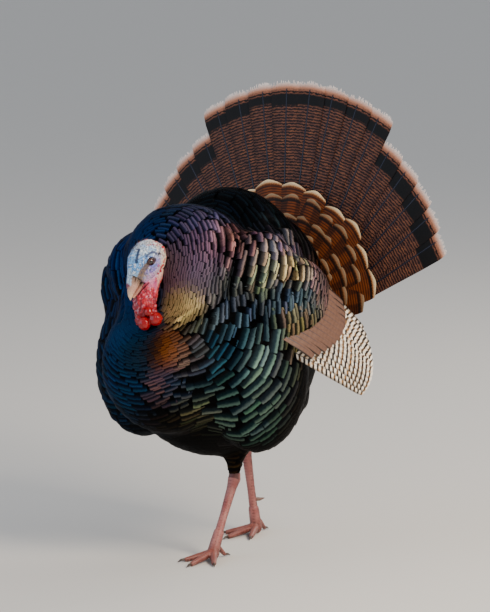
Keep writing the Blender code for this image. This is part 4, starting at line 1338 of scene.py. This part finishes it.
def paintHead(spots, throat, bulb, gape, wart, lidAndShadePaint, deep, fine):
    # the blended skin colours, then mottling, bare edges, strokes, bulbs, gape and lids
    share = headBlend(spots, headPaint.values()) ** 1.3 + 1e-9
    colours = np.repeat([linear(mark[2])[:3] for mark in headPaint.values()], 2, axis=0)
    paint = share @ colours / share.sum(axis=1, keepdims=True)
    bare, local = 1 - bulb, headFrame(spots)
    tree = BVHTree.FromBMesh(headForm)
    pale = (1 - throat) * smooth(-30, 0, local[:, 2])
    back = smooth(0, -24, local[:, 2]) * (1 - 0.5 * throat)
    crown = smooth(-22, -32, local[:, 1])
    cloud, small = noiseAt(spots, 0.006, 3), noiseAt(spots, 0.0045, 15)
    bristly = noiseAt(spots, 0.0016, 27) + 0.6 * small
    layers = [(0.45 * smooth(0.0, 0.4, cloud) * pale, "4c98e4"),
              (0.60 * smooth(0.1, 0.4, noiseAt(spots, 0.005, 9)) * pale, "ffffff"),
              (0.70 * smooth(0.10, 0.35, noiseAt(spots, 0.0052, 5)) * throat * bare, "f0bccc"),
              (0.85 * smooth(0.05, 0.3, small) * throat * bare, "8c0424"),
              (smooth(0.2, 0.6, wart) * np.clip(back + crown, 0, 1) * bare, "cc1c18"),
              (0.75 * smooth(0.12, 0.35, noiseAt(spots, 0.0026, 33)) * pale, "1c3868"),
              # painted shade: the valleys of the throat's folds are darker
              (0.60 * smooth(0.5, 0.0, deep) * throat * bare, "60081e")]
    for half, code, strength, line in headStrokes.values():
        far = np.min([toLine(spots, way)[0] for way in onFace(tree, line)], axis=0)
        ragged = far * 1000 + 1.3 * bristly
        layers.append((strength * (1 - smooth(half * 0.75, half * 1.15, ragged)), code))
    # painted shade: the valleys of the fine net of folds are darker
    layers += [(0.55 * smooth(0.5, 0.0, fine) * bare * (1 - throat), "343c70"),
               (bulb, "960006"), (0.35 * bulb * smooth(0.1, 0.5, cloud), "c00810"),
               # painted shade: the gape's sunk line is dark red, with a pinker lip beside it
               (np.exp(-(gape / 0.0020) ** 2), "60081a"),
               (0.7 * np.exp(-((gape - 0.0030) / 0.0012) ** 2), "d43c58"),
               # the dark ring round the eye: dark lid skin and, partly, painted shade round the
               # eyeball
               (0.95 * lidAndShadePaint, "2c0c08")]
    return overpaint(paint, layers, 0.35 + 0.6 * bulb + 0.15 * throat)


headColours = sculptHead()
print("head sculpted:", len(headColours), "corners")

# bare legs: overlapping plates in front, round scales behind, sizes in metres
legNodes = ["shank_left", "foot_left", "shank_right", "foot_right"]
legForm = voxelled(merged(legNodes, bareParts["swell"]), bareParts["legVoxel"],
                   bareParts["legRelax"])
legs = {"left": ((0.050, 0.013, 0.163), (0.050, -0.060, 0.016)),
        "right": ((-0.054, 0.186, 0.196), (-0.046, 0.212, 0.016))}
plates = {"shank": 0.0068, "toe": 0.0046, "height": 0.00075, "scale": 0.0034,
          "light": "c08078", "dark": "984c48", "toeTint": "7c483c", "grooveShade": "48201c"}


def legBones():
    # each shank and toe: its ends, the length of its plates and the way they face
    for side, (hock, ankle) in legs.items():
        hock, ankle = np.array(onBird(hock)), np.array(onBird(ankle))
        yield hock, ankle, plates["shank"], unit(np.array([0, -1.0, 0.1]))
        for toe in ("inner", "middle", "outer", "hind"):
            low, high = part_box(f"claw_{side}_{toe}")
            yield ankle, np.array((low + high) / 2), plates["toe"], np.array([0, 0, 1.0])


def sculptLegs():
    spots, normals = corners(legForm)
    best = np.full(len(spots), 9.0)
    count, front = np.zeros(len(spots)), np.zeros(len(spots))
    for one, two, step, face in legBones():
        share = np.clip((spots - one) @ (two - one) / ((two - one) @ (two - one)), 0, 1)
        gap = toLine(spots, np.array([one, two]))[0]
        nearer = gap < best
        best = np.where(nearer, gap, best)
        count = np.where(nearer, share * np.linalg.norm(two - one) / step, count)
        front = np.where(nearer, normals @ face, front)
    part = count % 1.0
    plate = (1 - part) * smooth(0.0, 0.14, part)
    cells = np.array([noise.voronoi(Vector(p) / plates["scale"])[0][0] for p in spots])
    scale = 1 - np.clip(cells * 1.6, 0, 1)
    ahead = smooth(-0.1, 0.35, front)
    sole = smooth(0.004, 0.0005, spots[:, 2])
    height = plates["height"] * (plate * ahead + 0.75 * scale * (1 - ahead)) * (1 - sole)
    setCorners(legForm, spots + normals * height[:, None])
    # painted shade: the grooves between plates and between scales are darker
    grooveShade = ahead * smooth(0.16, 0.0, part) + (1 - ahead) * smooth(0.35, 0.0, scale)
    paint = np.tile(linear(plates["light"])[:3], (len(spots), 1))
    layers = ((noiseAt(spots, 0.016, 4) * 0.5 + 0.5, plates["dark"]),
              (0.6 * smooth(0.05, 0.015, spots[:, 2]), plates["toeTint"]),
              (0.8 * grooveShade, plates["grooveShade"]))
    return overpaint(paint, layers, 0.4)


legColours = sculptLegs()
print("legs sculpted:", len(legColours), "corners")

# one skin for the body, head and legs
# painted shade, partly: the down is painted dark so that the gaps between feathers show as shade
downShade = 0.25  # the down under the feathers is a dark share of their sheen
bodyColours = overpaint(growing(bodySpots)[1] * downShade, (), 0)
whole = bmesh.new()
for form, number, colours in ((bodyForm, 0, bodyColours), (headForm, 1, headColours),
                              (legForm, 2, legColours)):
    mesh = meshOf(form, "skinPart")
    paintOn(mesh, colours)
    mesh.polygons.foreach_set("material_index", np.full(len(mesh.polygons), number, np.int32))
    whole.from_mesh(mesh)
    bpy.data.meshes.remove(mesh)
skin = addPiece("skin", meshOf(whole, "skin"), [downSkin, bareSkin, scaleSkin], "head_skin",
                bodyNodes + headNodes + legNodes)
print("skin with", sum(len(p.vertices) - 2 for p in skin.data.polygons), "triangles")

# eyes: a dark iris round a black pupil under a clear, glossy cornea
eye = {"radius": 0.0086, "iris": 0.0066, "pupil": 0.0040, "cornea": 0.0007, "black": "030202",
       "brown": "5a2c1c", "white": "2c1614", "gaze": (-0.30, 0.12)}
wetEye, eyeTree, eyeShader = newMaterial("wetEye", Roughness=0.05, Coat_Weight=1.0,
                                         Coat_Roughness=0.02)
eyeTree.links.new(addNode(eyeTree, "Attribute", attribute_name="paint"),
                  eyeShader.inputs["Base Color"])
for sideName, side in (("left", 1), ("right", -1)):
    low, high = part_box("eye_" + sideName)
    ball = bmesh.new()
    bmesh.ops.create_uvsphere(ball, u_segments=40, v_segments=28, radius=eye["radius"])
    look = headTurn @ Vector((side, *eye["gaze"])).normalized()
    colours = []
    for vert in ball.verts:
        way = vert.co.normalized()
        ahead = way.dot(look)
        off = (way - look * ahead).length * eye["radius"] if ahead > 0 else 1.0
        if off < eye["iris"]:
            vert.co += way * eye["cornea"] * (1 - (off / eye["iris"]) ** 2)
        ring = 0.8 + 0.3 * math.sin(off * 9000)
        shade = "black" if off < eye["pupil"] else "brown" if off < eye["iris"] else "white"
        colours.append([c * ring for c in linear(eye[shade])[:3]] + [1])
    bmesh.ops.translate(ball, verts=ball.verts, vec=(low + high) / 2)
    mesh = meshOf(ball, "eye")
    paintOn(mesh, colours)
    addPiece("eye" + sideName.capitalize(), mesh, [wetEye], "eye", ["eye_" + sideName])

# the bill: nostril slits under a soft flap, painted dark for the shade inside them, growth ridges,
# a bristly root that runs out to horn
bill = {"root": "8c7464", "horn": "c89c88", "tip": "ecc8a0", "ridge": "b8d0ec", "end": "8c2438",
        "line": "3c2a20", "hole": "4c2c26", "edge": "a0584c"}


def shapeBill(form):
    spots, normals = corners(form)
    local = headFrame(spots)
    slit = ((np.abs(local[:, 0]) - 10.0) / 3.0) ** 2 + ((local[:, 1] - 47) / 5.0) ** 2
    slit += ((local[:, 2] - 10 + 0.35 * (local[:, 1] - 47)) / 1.6) ** 2
    # painted shade: the nostril slit is painted dark, as well as sunk
    hole = np.exp(-slit)
    flap = np.exp(-(slit - 1.8) ** 2) * (local[:, 2] > 8)
    ridge = np.sin(local[:, 1] * 1.1 + noiseAt(spots, 0.01) * 3) * 0.00012
    setCorners(form, spots + normals * (0.0007 * flap - 0.0016 * hole + ridge)[:, None])
    out = smooth(44, 60, local[:, 1] + 3 * noiseAt(spots, 0.006, 2))
    edge = smooth(-6, -10, local[:, 2]) * smooth(38, 60, local[:, 1]) * 0.4
    paint = np.tile(linear(bill["root"])[:3], (len(spots), 1))
    ridge = 1 - smooth(5, 7.5, np.abs(local[:, 0]) + 2 * noiseAt(spots, 0.005, 5))
    ridge *= (1 - smooth(58, 64, local[:, 1])) * smooth(2, 6, local[:, 2])
    end = np.exp(-((local[:, 1] - 62) / 2.5) ** 2) * (1 - smooth(3, 5, np.abs(local[:, 0])))
    line = smooth(0.05, 0.3, noiseAt(spots * np.array([1, 1, 0.3]), 0.0022, 8)) * (1 - out)
    layers = ((0.8 * line, "line"), (out, "horn"), (smooth(66, 82, local[:, 1]), "tip"),
              (edge, "edge"), (0.9 * ridge, "ridge"), (0.9 * end, "end"), (0.9 * hole, "hole"))
    return overpaint(paint, [(amount, bill[place]) for amount, place in layers], 0.6)


def hornPiece(name, nodes, voxel, material, slot, shape=None):
    form = voxelled(merged(nodes), voxel, 3)
    colours = shape(form) if shape else None
    mesh = meshOf(form, name)
    if shape:
        paintOn(mesh, colours)
    return addPiece(name, mesh, [material], slot, nodes)


hornPiece("billUpper", ["bill_upper"], 0.0008, billHorn, "bill_horn", shapeBill)
hornPiece("billLower", ["bill_lower"], 0.0008, billHorn, "bill_horn", shapeBill)
for sideName in ("left", "right"):
    claws = [f"claw_{sideName}_{toe}" for toe in ("hind", "inner", "middle", "outer")]
    hornPiece("claws" + sideName.capitalize(), claws, 0.0009, clawHorn, "claw_horn")
    hornPiece("spur" + sideName.capitalize(), ["spur_" + sideName], 0.0010, spurHorn, "claw_horn")
print("bill, claws and spurs made")

# bristles: short dark hairs on the lore, the crown and the nape
bristles = {"count": 420, "length": 0.0050, "radius": 0.00016, "lean": 0.55,
            "spread": (((20, 27, 10), 9), ((26, 12, 12), 5), ((12, -36, 22), 12),
                       ((4, -14, 38), 9), ((20, -30, -6), 8))}


def growBristles():
    verts = skin.data.vertices[len(bodySpots):len(bodySpots) + len(headColours)]
    spots, normals = np.array([v.co for v in verts]), np.array([v.normal for v in verts])
    weight = headBlend(spots, bristles["spread"]).sum(axis=1)
    chosen = dice.choice(len(spots), bristles["count"], replace=False, p=weight / weight.sum())
    spots, normals = spots[chosen], normals[chosen]
    back = np.array(headTurn @ Vector((0, 1, 0.25)))
    way = unit(normals + back * bristles["lean"] + dice.uniform(-0.2, 0.2, spots.shape))
    side = unit(np.cross(way, normals + 0.01))
    rod, faces = rodTemplate(4, 0.15)
    length = bristles["length"] * dice.uniform(0.5, 1.2, (len(spots), 1, 1))
    flat = side[:, None] * rod[None, :, :1] + np.cross(way, side)[:, None] * rod[None, :, 1:2]
    points = spots[:, None] + flat * bristles["radius"]
    points = points + way[:, None] * rod[None, :, 2:] * length
    uv = np.broadcast_to((rod[:, ::2] * 0.5)[None], (len(spots), len(rod), 2))
    bake = unwrapped(spots, headPose["at"])[:, None] + (uv - 0.25) * 0.003
    mesh = joinArrays("headBristles", points, faces, uv, bake, {})
    return addPiece("headBristles", mesh, [clawHorn], "feather_bronze")


growBristles()
print("bristles grown")

# floor, light and camera; the floor is matt paint, which takes soft shadows and has no gloss
stage = {"floor": "d9d6d0", "world": "e4eaf4", "worldStrength": 0.62}
floor = bmesh.new()
bmesh.ops.create_grid(floor, x_segments=1, y_segments=1, size=14)
floorPiece = newObject("floor", meshOf(floor, "floor"))
mattePaint = newMaterial("mattePaint", Roughness=0.9, Base_Color=linear(stage["floor"]))[0]
floorPiece.data.materials.append(mattePaint)
world = bpy.data.worlds.new("studio")
bpy.context.scene.world = world
world.use_nodes = True
sky = world.node_tree.nodes["Background"]
sky.inputs[0].default_value = linear(stage["world"])
sky.inputs[1].default_value = stage["worldStrength"]
# each lamp: place, power, size and colour
lamps = {"key": ((3.0, -0.4, 2.6), 165, 1.4, "fff0dc"),
         "fill": ((-2.2, -3.2, 1.6), 38, 2.4, "cfe0ff"),
         "back": ((0.4, 3.2, 2.8), 60, 1.8, "fff6ea")}
for name, (at, power, size, colour) in lamps.items():
    light = bpy.data.lights.new(name, "AREA")
    light.energy, light.size, light.color = power, size, linear(colour)[:3]
    lamp = newObject(name, light)
    lamp.location = at
    aim = Vector((0, 0, 0.5)) - Vector(at)
    lamp.rotation_euler = aim.to_track_quat("-Z", "Y").to_euler()
shot = {"azimuth": 38, "elevation": 9, "distance": 10, "lens": 273.6,
        "target": (0.0045, 0.1084, 0.5215)}
camera = newObject("camera", bpy.data.cameras.new("camera"))
bpy.context.scene.camera = camera
camera.data.lens, camera.data.sensor_width, camera.data.clip_end = shot["lens"], 36, 100
around, above = math.radians(shot["azimuth"]), math.radians(shot["elevation"])
back = Vector((math.sin(around) * math.cos(above), -math.cos(around) * math.cos(above),
               math.sin(above)))
camera.location = onBird(shot["target"]) + back * shot["distance"]
camera.rotation_mode = "QUATERNION"
camera.rotation_quaternion = back.to_track_quat("Z", "Y")
